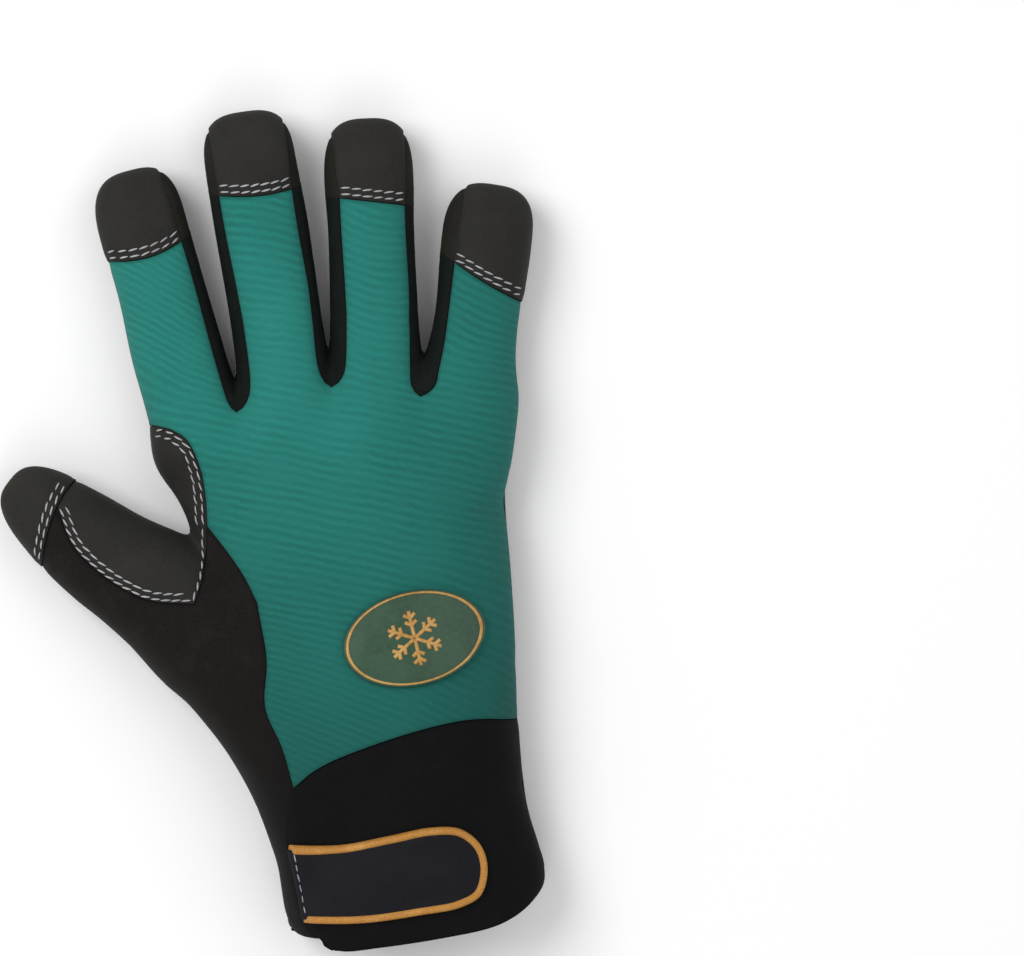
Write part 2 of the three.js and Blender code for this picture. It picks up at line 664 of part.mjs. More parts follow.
// Seams that two or more pieces share.
const panelColumns = FINGERS.length * STEPS.column;
const panelRows = STEPS.low + STEPS.spike + STEPS.high + STEPS.end;
const seams = {
  cuffTopLeft: pinned(line(SEAM.cuffTopLeft, STEPS.thumbBack + STEPS.spike), rim.cuffLeft),
  cuffTop: pinned(easedLine(SEAM.cuffTop, panelColumns), null, rim.cuffRight),
  cuffPalmLeft: pinned(line(SEAM.cuffPalmLeft, STEPS.heelBand), rim.cuffLeft),
  cuffPalm: pinned(easedLine(SEAM.cuffPalm, panelColumns), null, rim.cuffRight),
  greenLow: line(SEAM.greenLow, STEPS.low),
  greenSpike: line(SEAM.greenSpike, STEPS.spike),
  greenHigh: line(SEAM.greenHigh, STEPS.high),
  saddleEndTop: pinned(line(SEAM.saddleEndTop, STEPS.end), null, rim.saddleEnd),
  saddleEndPalm: pinned(line(SEAM.saddleEndPalm, STEPS.end), null, rim.saddleEnd),
  saddleSpike: line(SEAM.saddleSpike, STEPS.spike),
  thumbBaseTop: pinned(line(SEAM.thumbBaseTop, STEPS.thumbBack), rim.thumbHeel),
  spikeBase: line(SEAM.spikeBase, STEPS.spike),
  heelBand: pinned(line(SEAM.heelBand, STEPS.heelBand), rim.thumbHeel),
  palmBase: line(SEAM.palmBase, STEPS.palmBase),
  palmThenar: line(SEAM.palmThenar, STEPS.low),
  palmWeb: line(SEAM.palmWeb, STEPS.high),
  ulnarSide: pinned(outline(SEAM.ulnarSide, panelRows), rim.cuffRight, rim.littleBase),
  thenarOuter: pinned(outline(SEAM.thenarOuter, STEPS.low), rim.cuffLeft, rim.thumbHeel),
};

// The green back with its four finger backs, and the palm with its four finger fronts.
const backWest = chain(seams.greenLow, seams.greenSpike, seams.greenHigh, seams.saddleEndTop);
const backFoot = chain(...fingers.map((finger) => fingerFoot(finger, 'top')));
addWall('back_panel', [
  patch(seams.cuffTop, backFoot, backWest, seams.ulnarSide, true),
  ...fingers.map((finger) => fingerGrid(finger, 'top')),
], WALLS.knit, MATERIALS.knit);

const palmWest = chain(seams.palmThenar, seams.palmBase, seams.palmWeb, seams.saddleEndPalm);
const palmFoot = chain(...fingers.map((finger) => fingerFoot(finger, 'palm')));
addWall('palm_panel', [
  patch(seams.cuffPalm, palmFoot, palmWest, seams.ulnarSide, false),
  ...fingers.map((finger) => fingerGrid(finger, 'palm')),
], WALLS.palm, MATERIALS.leather);

// The narrow strips between the fingers, down one finger and up the next.
webs.forEach((web, k) => {
  const [first, second] = [fingers[k], fingers[k + 1]];
  const [top, middle, palm] = ['top', 'middle', 'palm'].map((level) => (
    chain(reversed(first.rightSide[level]), second.leftSide[level])));
  addWall(`side_strip_${first.name}_${second.name}`, [
    patch(top, middle, first.edges.top.right, reversed(second.edges.top.left), true),
    patch(middle, palm, reversed(first.edges.palm.right), second.edges.palm.left, false),
  ], WALLS.strip, MATERIALS.side, { gap: STRIP_GAP });
});

fingers.forEach(({ name, part, top, edges }) => {
  addWall(`cap_${name}`, capGrids(part, top, edges.top, edges.palm), CAP_DEPTH, MATERIALS.leather,
    { proud: CAP_PROUD });
});

// The thumb: its cap, the side fabric that runs on down to the cuff, and the leather saddle that
// covers the web between thumb and index finger.
const thumb = TUBES.thumb;
const thumbEdges = {
  top: capEdge(thumb, THUMB_CAP.top, [-1, THUMB_CAP.saddleShare, 1], [STEPS.thumbBack, STEPS.end]),
  palm: capEdge(thumb, THUMB_CAP.palm, [-1, THUMB_CAP.underShare, 1], [STEPS.thumbBack, STEPS.end]),
};
addWall('cap_thumb', capGrids(thumb, THUMB_CAP.top, thumbEdges.top, thumbEdges.palm), CAP_DEPTH,
  MATERIALS.leather, { proud: CAP_PROUD });

const [thumbLeftEdge, saddleTopEdge] = thumbEdges.top.parts;
const [thumbUnderEdge, saddlePalmEdge] = thumbEdges.palm.parts;
const saddleCapPoint = saddleTopEdge[0];
const saddleOutlinePoint = saddleTopEdge[STEPS.end];
const underPoint = saddlePalmEdge[0];
const thumbOuter = pinned(
  outline([...SEAM.thumbOuter, thumbLeftEdge[0]], STEPS.thumb), rim.thumbHeel, thumbLeftEdge[0]);
const saddleBack = line([...SEAM.saddleBack, saddleCapPoint], STEPS.thumb);
const underSeam = (count) => line([...SEAM.saddleUnder, underPoint], count);
const thenarTop = chain(seams.thumbBaseTop, seams.spikeBase);
addWall('thumb_side', [
  patch(seams.thumbBaseTop, thumbLeftEdge, thumbOuter, saddleBack, true),
  patch(seams.cuffTopLeft, thenarTop, seams.thenarOuter, seams.greenLow, true),
  patch(seams.spikeBase, seams.spikeBase.map(() => JOIN.spikeTip), seams.saddleSpike, seams.greenSpike, true),
  patch(chain(seams.heelBand, seams.palmBase), thumbUnderEdge, thumbOuter, underSeam(STEPS.thumb), false),
  patch(seams.cuffPalmLeft, seams.heelBand, seams.thenarOuter, seams.palmThenar, false),
], WALLS.side, MATERIALS.side);

const saddleSteps = STEPS.thumb + STEPS.spike;
const saddleTopLine = chain(reversed(saddleBack), seams.saddleSpike, seams.greenHigh);
const saddleOutline = chain(
  pinned(outline([saddleOutlinePoint, ...SEAM.webThumb], saddleSteps), saddleOutlinePoint, rim.thumbWeb),
  pinned(outline(SEAM.webIndex, STEPS.high), rim.thumbWeb, rim.saddleEnd),
);
const saddlePalmLine = chain(reversed(underSeam(saddleSteps)), seams.palmWeb);
addWall('thumb_saddle', [
  patch(saddleTopLine, saddleOutline, saddleTopEdge, seams.saddleEndTop, true),
  patch(saddleOutline, saddlePalmLine, reversed(saddlePalmEdge), reversed(seams.saddleEndPalm), false),
], WALLS.palm, MATERIALS.leather);

// The cuff, open at its hem.
const hemEnds = [onOutline(HEM[0]), onOutline(HEM[HEM.length - 1])];
const hemBelow = (edge) => pinned(lineAt(HEM, shares(edge)), ...hemEnds);
const cuffSides = [
  pinned(outline([hemEnds[0], rim.cuffLeft], STEPS.cuff), hemEnds[0], rim.cuffLeft),
  pinned(outline([hemEnds[1], rim.cuffRight], STEPS.cuff), hemEnds[1], rim.cuffRight),
];
const cuffEdges = [chain(seams.cuffTopLeft, seams.cuffTop), chain(seams.cuffPalmLeft, seams.cuffPalm)];
addWall('cuff', cuffEdges.map((edge, k) => (
  patch(hemBelow(edge), edge, ...cuffSides, k === 0))), WALLS.cuff, MATERIALS.cuff);

// Pads and patches under the palm and the digits, which the glove lies on.
Object.entries(PALM_PADS).forEach(([name, { south, north, west, east }]) => {
  const [columns, rows] = STEPS.pad;
  const across = (points) => bothEndsEased(points, columns);
  addOverlay(name, [patch(across(south), across(north), line(west, rows), line(east, rows), false)],
    PAD_THICKNESS, MATERIALS.leather);
});

DIGIT_PATCHES.forEach(({ name, digit, low, high }) => {
  const part = TUBES[digit];
  const [columns, rows] = STEPS.digitPatch;
  const edge = (row) => Array.from({ length: columns + 1 }, (_, i) => {
    const across = PATCH_REACH * ((2 * i) / columns - 1);
    return onDigit(part, acrossRow(row, across), across);
  });
  const [south, north] = [edge(low), edge(high)];
  const side = (i) => line([south[i], north[i]], rows);
  addOverlay(name, [patch(south, north, side(0), side(columns), false)], PAD_THICKNESS, MATERIALS.leather);
});

// The strap's round-ended outline, drawn in by a margin: its lower, upper and end lines.
function strapLines(margin) {
  const { left, right, low, high } = STRAP;
  const radius = (high - low) / 2 - margin;
  const centre = [right - margin - radius, (low + high) / 2];
  const arc = Array.from({ length: STEPS.strap[1] * 2 + 1 }, (_, i) => {
    const angle = -Math.PI / 2 + (Math.PI * i) / (STEPS.strap[1] * 2);
    return [centre[0] + radius * Math.cos(angle), centre[1] + radius * Math.sin(angle)];
  });
  return {
    lower: bothEndsEased([[left, low + margin], arc[0]], STEPS.strap[0]),
    arc,
    upper: bothEndsEased([[left, high - margin], arc[arc.length - 1]], STEPS.strap[0]),
  };
}

const strapInside = strapLines(BINDING.width + PAD_GAP);
addOverlay('strap', [patch(strapInside.lower, strapInside.upper,
  line([strapInside.lower[0], strapInside.upper[0]], STEPS.strap[1] * 2), strapInside.arc, true)],
STRAP.thickness, MATERIALS.strap);

// The binding is a rounded ribbon along the strap's edge.
const bindingPath = strapLines(BINDING.width / 2);
const bindingLine = chain(bindingPath.lower, bindingPath.arc, reversed(bindingPath.upper));
const ribbonShares = [-0.5, -0.3, 0, 0.3, 0.5];
const binding = ribbonShares.map((share) => bindingLine.map((point, i) => {
  const before = bindingLine[Math.max(i - 1, 0)];
  const after = bindingLine[Math.min(i + 1, bindingLine.length - 1)];
  const length = Math.hypot(after[0] - before[0], after[1] - before[1]);
  const offset = share * BINDING.width;
  return lift([
    point[0] + ((after[1] - before[1]) / length) * offset,
    point[1] - ((after[0] - before[0]) / length) * offset,
  ], true);
}));
const bindingHeights = new Map(binding.flatMap((row, j) => row.map((point) => [
  point.map((value) => Math.round(value * 500)).join(' '), Math.sqrt(1.15 - (2 * ribbonShares[j]) ** 2),
])));
addOverlay('strap_binding', [binding], (vertex) => (
  BINDING.height * bindingHeights.get(vertex.toArray().map((value) => Math.round(value * 500)).join(' '))),
MATERIALS.binding);

// Oval badges: a plate with a raised rim, following the fabric under them.
function addBadge(name, { centre, half, turn, rim: rimHeight, plate }, up) {
  const angle = THREE.MathUtils.degToRad(turn);
  const inside = 1 - BADGE_RIM_WIDTH;
  const rings = [0, inside / 2, inside - RIM_SLOPE, inside, 1];
  const place = (share, around) => {
    const [x, y] = [half[0] * share * Math.cos(around), half[1] * share * Math.sin(around)];
    return [
      centre[0] + x * Math.cos(angle) - y * Math.sin(angle),
      centre[1] + x * Math.sin(angle) + y * Math.cos(angle),
    ];
  };
  const count = STEPS.badge;
  const grid = rings.map((share) => Array.from({ length: count + 1 }, (_, i) => (
    lift(place(share, (2 * Math.PI * (i % count)) / count), up))));
  const shareOf = (vertex) => {
    const [dx, dy] = [vertex.x - centre[0], vertex.y - centre[1]];
    const x = dx * Math.cos(angle) + dy * Math.sin(angle);
    const y = dy * Math.cos(angle) - dx * Math.sin(angle);
    return Math.hypot(x / half[0], y / half[1]);
  };
  const heightAt = (vertex) => (shareOf(vertex) > inside - RIM_SLOPE / 2 ? rimHeight : plate);
  addOverlay(name, [grid], heightAt, MATERIALS.badge);
}
addBadge('badge_back', BACK_BADGE, true);
addBadge('badge_cuff', CUFF_BADGE, false);

// The origin is the middle of the glove's box, on the surface that it lies on.
const box = new THREE.Box3().setFromObject(glove);
const middle = box.getCenter(new THREE.Vector3());
glove.children.forEach((mesh) => mesh.position.set(-middle.x, -middle.y, -box.min.z));

export default glove;
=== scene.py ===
"""The looks of a winter work glove, lying palm down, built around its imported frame.

The glove is one hand form: rounded tubes that run softly into each other. Each piece of cloth or
leather is a patch of that form between seams drawn in plan. Lengths are millimetres until a mesh
is made. X runs away from the thumb, Y to the fingertips and Z up out of the back of the hand.
"""

import logging
import math
from dataclasses import dataclass, field
from enum import Enum

import bpy
import numpy as np
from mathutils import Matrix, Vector


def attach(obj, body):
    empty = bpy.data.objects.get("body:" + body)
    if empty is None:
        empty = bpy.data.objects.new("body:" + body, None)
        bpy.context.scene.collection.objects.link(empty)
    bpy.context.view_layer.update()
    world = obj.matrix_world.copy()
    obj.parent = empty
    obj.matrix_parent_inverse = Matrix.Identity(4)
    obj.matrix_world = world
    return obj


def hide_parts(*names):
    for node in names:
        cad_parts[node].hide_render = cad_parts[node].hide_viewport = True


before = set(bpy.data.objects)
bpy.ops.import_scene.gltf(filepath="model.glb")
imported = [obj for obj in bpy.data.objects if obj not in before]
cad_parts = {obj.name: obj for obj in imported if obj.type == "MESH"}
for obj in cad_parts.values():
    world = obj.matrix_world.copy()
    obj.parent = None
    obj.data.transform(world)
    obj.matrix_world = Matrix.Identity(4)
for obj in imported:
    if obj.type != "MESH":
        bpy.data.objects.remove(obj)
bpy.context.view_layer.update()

Array = np.ndarray
Point = tuple[float, float]
Row = tuple[float, float, float]
Socket = bpy.types.NodeSocket
Sockets = bpy.types.bpy_prop_collection
Node = bpy.types.Node
Tree = bpy.types.NodeTree
Material = bpy.types.Material
Object = bpy.types.Object
Block = tuple[Array, Array]
Paint = tuple[int, int, int]
Surface = tuple[Socket, Socket, Socket]

LOG = logging.getLogger("winter_glove")

MM = 0.001
DETAIL = 6
SHIFT = np.array([2.128, 0.686, 0.060])
OUTLINE_Z = 12.0
UNDERSIDE_Z = 1.3
BELLY_Z = -2.5
PLAN_POWER = 3.0
CROWN_POWER = 2.25
BELLY_POWER = 3.0
BLEND_FINGERS = 0.8
BLEND_HAND = 1.5
BLEND_ALL = 2.3
BLEND_FLOOR = 0.8
SLOPE_STEP = 0.02
HALVINGS = 22
ON_RIM = 0.004
SWELL = 0.28
FLOOR_GAP = 0.00002


class Side(Enum):
    """The side of the glove that a surface is on."""

    BACK = 1
    PALM = -1


class Ease(Enum):
    """Where the steps of a line grow short."""

    EVEN = "even"
    START = "start"
    END = "end"
    BOTH = "both"


# The hand form

LIFT_TO = {Side.BACK: 60.0, Side.PALM: -20.0}


@dataclass(frozen=True)
class Tube:
    """One rounded tube of the hand: the palm, the ball of the thumb or a digit.

    Attributes:
        base: The plan point that distances along the tube start from.
        lean: How far it leans to the left of +Y, in degrees.
        ends: Where it starts and how long that end is, then the same for its far end.
        rows: Rows of distance along, half width left, half width right and height of the top.
    """

    base: Point
    lean: float
    ends: tuple[float, float, float, float]
    rows: tuple[tuple[float, float, float, float], ...]

    @property
    def along(self) -> Array:
        """The unit vector along the tube, in plan."""
        turn = math.radians(self.lean)
        return np.array([-math.sin(turn), math.cos(turn)])

    @property
    def across(self) -> Array:
        """The unit vector to the tube's right, in plan."""
        return np.array([self.along[1], -self.along[0]])

    def sizes(self, s: Array | float) -> Array:
        """Works out the section at distances along the tube.

        Between two rows it is the cubic that has the slope of the rows on either side.

        Args:
            s: Distances along the tube.

        Returns:
            Half width left, half width right and height of the top, one row each.
        """
        table = np.array(self.rows)
        knots, values = table[:, 0], table[:, 1:]
        s = np.clip(np.asarray(s, float), knots[0], knots[-1])
        last = len(knots) - 1
        i = np.clip(np.searchsorted(knots, s, side="left") - 1, 0, last - 1)
        low, high = np.maximum(np.arange(last + 1) - 1, 0), np.minimum(np.arange(last + 1) + 1, last)
        slopes = (values[high] - values[low]) / (knots[high] - knots[low])[:, None]
        step = (knots[i + 1] - knots[i])[..., None]
        t = (s - knots[i])[..., None] / step
        first, second = slopes[i] * step, slopes[i + 1] * step
        rise = values[i + 1] - values[i]
        bend = t * (first + t * (3 * rise - 2 * first - second + t * (first + second - 2 * rise)))
        return np.moveaxis(values[i] + bend, -1, 0)

    def state(self, plan: Array) -> Array:
        """Works out what the tube's section is under plan points.

        The plan share is (|across|^p + past^p)^(1/p), where across is 1 at the tube's side and
        past grows from 0 to 1 over a rounded end.

        Args:
            plan: Plan points, shape (N, 2).

        Returns:
            The plan share, the mean half width and the height of the top, shape (3, N).
        """
        offset = plan - np.array(self.base)
        s, c = offset @ self.along, offset @ self.across
        left, right, top = self.sizes(s)
        width = (left + right) / 2
        start, start_length, end, end_length = self.ends
        past = np.maximum(0, np.maximum((s - end) / end_length, (start - s) / start_length))
        share = np.abs(c - (right - left) / 2) / width
        return np.array([(share**PLAN_POWER + past**PLAN_POWER) ** (1 / PLAN_POWER), width, top])

    def place(self, s: Array | float, share: Array | float) -> Array:
        """Finds plan points on the tube.

        Args:
            s: Distances along it.
            share: Places across it, from -1 at its left side to 1 at its right.

        Returns:
            Plan points, with a last axis of two.
        """
        s, share = np.broadcast_arrays(np.asarray(s, float), np.asarray(share, float))
        left, right, _ = self.sizes(s)
        c = (right - left) / 2 + share * (left + right) / 2
        return np.array(self.base) + s[..., None] * self.along + c[..., None] * self.across

    def inset_share(self, s: float, inset: float, sign: int) -> float:
        """The share across that lies an inset in from the left (-1) or right (1) side."""
        left, right, _ = self.sizes(s)
        return float(sign * (1 - inset / ((left + right) / 2)))


def soft_min(values: Array, softness: float) -> Array:
    """Blends the lowest of some values: -k ln(sum(exp(-v / k))).

    Args:
        values: The values to blend, along the first axis.
        softness: How far the blend reaches, k.

    Returns:
        The blended values.
    """
    lowest = values.min(axis=0)
    return lowest - softness * np.log(np.exp((lowest - values) / softness).sum(axis=0))


@dataclass(frozen=True)
class Fold:
    """A soft crease or swelling of the cloth along a line in plan.

    Attributes:
        side: The side of the glove that it is on.
        start: Where it starts, in plan.
        end: Where it ends.
        width: How wide it is.
        rise: How far it stands up, or down where it is below 0.
    """

    side: Side
    start: Point
    end: Point
    width: float
    rise: float

    def height(self, points: Array) -> Array:
        """The fold's height: rise * exp(-(d / width)^2), with d the distance to its line.

        Args:
            points: Points on the form, shape (N, 3).

        Returns:
            Its height at each point, and 0 on the other side of the glove.
        """
        start, end = np.array(self.start), np.array(self.end)
        run = end - start
        t = np.clip((points[:, :2] - start) @ run / (run @ run), 0, 1)
        apart = np.hypot(*(points[:, :2] - start - t[:, None] * run).T)
        fade = np.sin(np.pi * (0.15 + 0.7 * t))
        facing = points[:, 2] * self.side.value > OUTLINE_Z * self.side.value
        return np.where(facing, self.rise * fade * np.exp(-((apart / self.width) ** 2)), 0.0)


class HandForm:
    """The rounded hand that every piece of the glove follows."""

    FINGERS = ("index", "middle", "ring", "little")
    HAND = ("body", "thenar", "thumb")

    def __init__(self, tubes: dict[str, Tube], folds: tuple[Fold, ...]) -> None:
        """Keeps the tubes by name, and the folds that the cloth over them has."""
        self.tubes = tubes
        self.folds = folds

    def state(self, plan: Array) -> Array:
        """The section of every tube under plan points, shape (7, 3, N)."""
        return np.array([self.tubes[name].state(plan) for name in self.FINGERS + self.HAND])

    def level(self, state: Array, z: Array) -> Array:
        """Works out the field at a height over each plan point.

        A tube's field is ((plan^q + (|z - outline| / height)^q)^(1/q) - 1) times its size. The
        fingers, the hand and then both run together by soft minimums, and the floor cuts them off.

        Args:
            state: What state() gives for the plan points.
            z: A height for each of them.

        Returns:
            Below 0 inside the hand and above 0 outside, about in millimetres.
        """
        plan, width, top = state[:, 0], state[:, 1], state[:, 2]
        above = z > OUTLINE_Z
        height = np.where(above, top - OUTLINE_Z, OUTLINE_Z - BELLY_Z)
        power = np.where(above, CROWN_POWER, BELLY_POWER)
        share = (plan**power + (np.abs(z - OUTLINE_Z) / height) ** power) ** (1 / power)
        each = (share - 1) * np.minimum(width, top - OUTLINE_Z)
        count = len(self.FINGERS)
        form = soft_min(
            np.array([soft_min(each[:count], BLEND_FINGERS), soft_min(each[count:], BLEND_HAND)]), BLEND_ALL
        )
        return -soft_min(np.array([-form, z - UNDERSIDE_Z]), BLEND_FLOOR)

    def field(self, points: Array) -> Array:
        """The field at points, shape (N, 3)."""
        return self.level(self.state(points[:, :2]), points[:, 2])

    def slope(self, points: Array) -> Array:
        """The field's slope, by differences over a small step each way.

        Args:
            points: Points, shape (N, 3).

        Returns:
            Its slope along X, Y and Z at each of them.
        """
        step, state = SLOPE_STEP, self.state(points[:, :2])
        rise = [self.field(points + d) - self.field(points - d) for d in np.eye(3)[:2] * step]
        rise.append(self.level(state, points[:, 2] + step) - self.level(state, points[:, 2] - step))
        return np.array(rise).T / (2 * step)

    def normal(self, points: Array) -> Array:
        """Unit vectors that point away from the hand."""
        slope = self.slope(points)
        return slope / np.maximum(np.linalg.norm(slope, axis=1, keepdims=True), 1e-9)

    def settle(self, points: Array, rounds: int = 6) -> Array:
        """Moves points along the slope until they lie on the surface.

        Args:
            points: Points near the surface, shape (N, 3).
            rounds: How often they are moved.

        Returns:
            The moved points.
        """
        points = points.copy()
        for _ in range(rounds):
            value, slope = self.field(points), self.slope(points)
            size = np.maximum((slope**2).sum(axis=1), 0.01)
            points -= slope * (value / size)[:, None]
        return points

    def rim(self, plan: Array) -> Array:
        """Plan points moved onto the hand's outline."""
        plan = np.atleast_2d(plan)
        return self.settle(np.column_stack([plan, np.full(len(plan), OUTLINE_Z)]), 10)[:, :2]

    def lift(self, plan: Array, side: Side = Side.BACK) -> Array:
        """Lifts plan points to the surface, by halving the height between inside and outside.

        Args:
            plan: Plan points, of any shape with a last axis of two.
            side: The side to lift them to.

        Returns:
            Points on the surface, with a last axis of three.
        """
        shape = plan.shape[:-1]
        flat = plan.reshape(-1, 2)
        state = self.state(flat)
        inside = np.full(len(flat), OUTLINE_Z)
        outside = np.full(len(flat), LIFT_TO[side])
        on_rim = self.level(state, inside) > -ON_RIM
        for _ in range(HALVINGS):
            middle = (inside + outside) / 2
            deep = self.level(state, middle) < 0
            inside, outside = np.where(deep, middle, inside), np.where(deep, outside, middle)
        points = np.column_stack([flat, np.where(on_rim, OUTLINE_Z, inside)])
        if on_rim.any():
            points[on_rim] = self.settle(points[on_rim])
        return points.reshape(*shape, 3)

    def relief(self, points: Array) -> Array:
        """How far the cloth stands off the form: its folds and a slow uneven swell.

        The swell is SWELL (sin a + sin b), with a and b two slanting waves about 40 mm long, and it
        fades out at the outline and under the hand.

        Args:
            points: Points on the form, shape (N, 3).

        Returns:
            Heights along the normal.
        """
        x, y, z = points.T
        rise = np.clip((z - OUTLINE_Z) / 8, 0, 1)
        swell = np.sin(0.17 * x + 0.09 * y + 0.6) + np.sin(0.11 * y - 0.13 * x + 2.1)
        return SWELL * rise * swell + sum(fold.height(points) for fold in self.folds)


# Lines and patches in plan


def shares(points: Array) -> Array:
    """Shares of a line's length at each of its points, from 0 to 1."""
    sums = np.concatenate([[0], np.cumsum(np.hypot(*np.diff(points, axis=0).T))])
    return sums / max(sums[-1], 1e-9)


def steps(count: int, ease: Ease = Ease.EVEN) -> Array:
    """Divides 0 to 1 into steps.

    Args:
        count: How many.
        ease: Where they grow short.

    Returns:
        The shares from the first step's start to the last one's end.
    """
    t = np.linspace(0, 1, count + 1)
    return {
        Ease.EVEN: t,
        Ease.START: 1 - np.cos(np.pi / 2 * t),
        Ease.END: np.sin(np.pi / 2 * t),
        Ease.BOTH: (1 - np.cos(np.pi * t)) / 2,
    }[ease]


def read_line(line: Array, at: Array, known: Array | None = None) -> Array:
    """Plan points at shares of a line's length, or of a known share for each of its points."""
    known = shares(line) if known is None else known
    return np.column_stack([np.interp(at, known, line[:, k]) for k in range(2)])


def smooth_line(points: list | Array, at: Array) -> Array:
    """Runs a smooth curve through points and reads it at shares of its length.

    Each stretch is the centripetal Catmull-Rom cubic: knots lie the square root of the distance
    apart, and the slope at a point comes from its two neighbours.

    Args:
        points: The points that the curve passes, in plan.
        at: Shares of its length, from 0 to 1.

    Returns:
        A plan point for each share.
    """
    p = np.asarray(points, float)
    p = np.vstack([2 * p[0] - p[1], p, 2 * p[-1] - p[-2]])
    gaps = np.maximum(np.sqrt(np.hypot(*np.diff(p, axis=0).T)), 1e-4)[:, None]
    d0, d1, d2 = gaps[:-2], gaps[1:-1], gaps[2:]
    p0, p1, p2, p3 = p[:-3], p[1:-2], p[2:-1], p[3:]
    m1 = ((p1 - p0) / d0 - (p2 - p0) / (d0 + d1) + (p2 - p1) / d1) * d1
    m2 = ((p2 - p1) / d1 - (p3 - p1) / (d1 + d2) + (p3 - p2) / d2) * d1
    t = np.linspace(0, 1, 41)[None, :-1, None]
    p1, p2, m1, m2 = (a[:, None] for a in (p1, p2, m1, m2))
    curve = p1 + m1 * t + (3 * (p2 - p1) - 2 * m1 - m2) * t**2 + (2 * (p1 - p2) + m1 + m2) * t**3
    return read_line(np.vstack([curve.reshape(-1, 2), p[-2]]), at)


def joined(*lines: Array) -> Array:
    """Joins lines that start where the last one ends."""
    return np.vstack([lines[0], *[line[1:] for line in lines[1:]]])


def pinned(line: Array, start: Array | Point, end: Array | Point) -> Array:
    """A line with its first and its last point moved."""
    return np.vstack([start, line[1:-1], end])


def coons(south: Array, north: Array, west: Array, east: Array) -> Array:
    """Fills four edges with a grid of plan points.

    A point is the mix of south and north, plus the mix of west and east, less the mix of the four
    corners, with the mixes taken at shares of the edges' lengths.

    Args:
        south: The edge along the grid's first row.
        north: The edge along its last row.
        west: The edge down its first column.
        east: The edge down its last column.

    Returns:
        The grid, rows by columns by two.
    """
    columns, rows = len(south) - 1, len(west) - 1
    even = np.linspace(0, 1, columns + 1)[None]
    guess = shares(west)[:, None] * (1 - even) + shares(east)[:, None] * even
    u = shares(south)[None] * (1 - guess) + shares(north)[None] * guess
    v = shares(west)[:, None] * (1 - u) + shares(east)[:, None] * u
    u, v = u[..., None], v[..., None]
    upright = south[None] * (1 - v) + north[None] * v
    level = west[:, None] * (1 - u) + east[:, None] * u
    corners = (south[0] * (1 - u) + south[-1] * u) * (1 - v) + (north[0] * (1 - u) + north[-1] * u) * v
    grid = upright + level - corners
    grid[:, 0], grid[:, columns], grid[0], grid[rows] = west, east, south, north
    return grid


def spread(start: float, end: float, count: int) -> Array:
    """Shares across a digit between two shares, closer together towards its sides."""
    return -np.cos(np.linspace(math.acos(-start), math.acos(-end), count + 1))


def across_row(row: Row, share: Array | float) -> Array | float:
    """A [left, middle, right] row read at shares across, on the parabola through all three."""
    left, middle, right = row
    return middle + (right - left) / 2 * share + ((left + right) / 2 - middle) * share**2


# The tables of the glove

TUBES = {
    "body": Tube((0, -131), 0, (-40, 20, 153, 20), (
        (-20, 20, 56, 33), (0, 20.8, 57, 34), (14, 23, 58.5, 35.5), (36, 22.8, 55.9, 36),
        (60, 24, 57.2, 37), (85, 26, 60, 37.5), (110, 28, 62.6, 36.5), (135, 33, 64.8, 33.5),
        (157, 38.5, 70, 30), (180, 41, 75, 27))),
    "thenar": Tube((-5, -88), 29.8, (0, 14, 64, 22), (
        (-10, 19, 20, 33), (0, 19.5, 22, 34), (20, 15, 24, 34), (39, 12.8, 24, 33),
        (60, 13.2, 22, 31), (84, 14, 20, 29))),
    "thumb": Tube((-36.9, -28.1), 42.7, (0, 16, 55, 19.5), (
        (-10, 17, 20, 31), (0, 17, 21.5, 30.5), (12, 15.2, 21.8, 29), (24, 14.4, 21, 27.5),
        (36, 14.4, 18.4, 25.5), (48, 13.4, 16.6, 24), (60, 11, 14.4, 22), (74, 8.5, 12, 19.5))),
    "index": Tube((-26.5, 34.4), 5.5, (0, 14, 66, 16.6), (
        (0, 13.2, 14.6, 27), (24, 14.4, 14.2, 25), (45, 13.6, 13.5, 23.5), (66, 14, 13, 22),
        (83, 13, 12.5, 19.5))),
    "middle": Tube((2.2, 33.6), -1.3, (0, 14, 80, 15.4), (
        (0, 14.4, 14.6, 29), (30, 14.2, 13.9, 26), (60, 15.2, 13.7, 23.5), (80, 15.6, 12.6, 22.5),
        (95, 15, 12, 19.5))),
    "ring": Tube((29, 29.4), -6.9, (0, 14, 75, 17.3), (
        (0, 14.4, 14.4, 28.5), (36, 13.4, 13.6, 25), (58, 13.2, 13.4, 23.2), (74, 13.8, 13.8, 22),
        (92, 13, 13, 19))),
    "little": Tube((53.6, 22.4), -17.8, (0, 14, 60, 15.6), (
        (0, 14.6, 14.5, 26.5), (14, 14, 14, 25.5), (34, 13, 13, 23.5), (54, 14.4, 13, 22),
        (64, 14.6, 12.6, 21.2), (76, 13.5, 12, 18.5))),
}

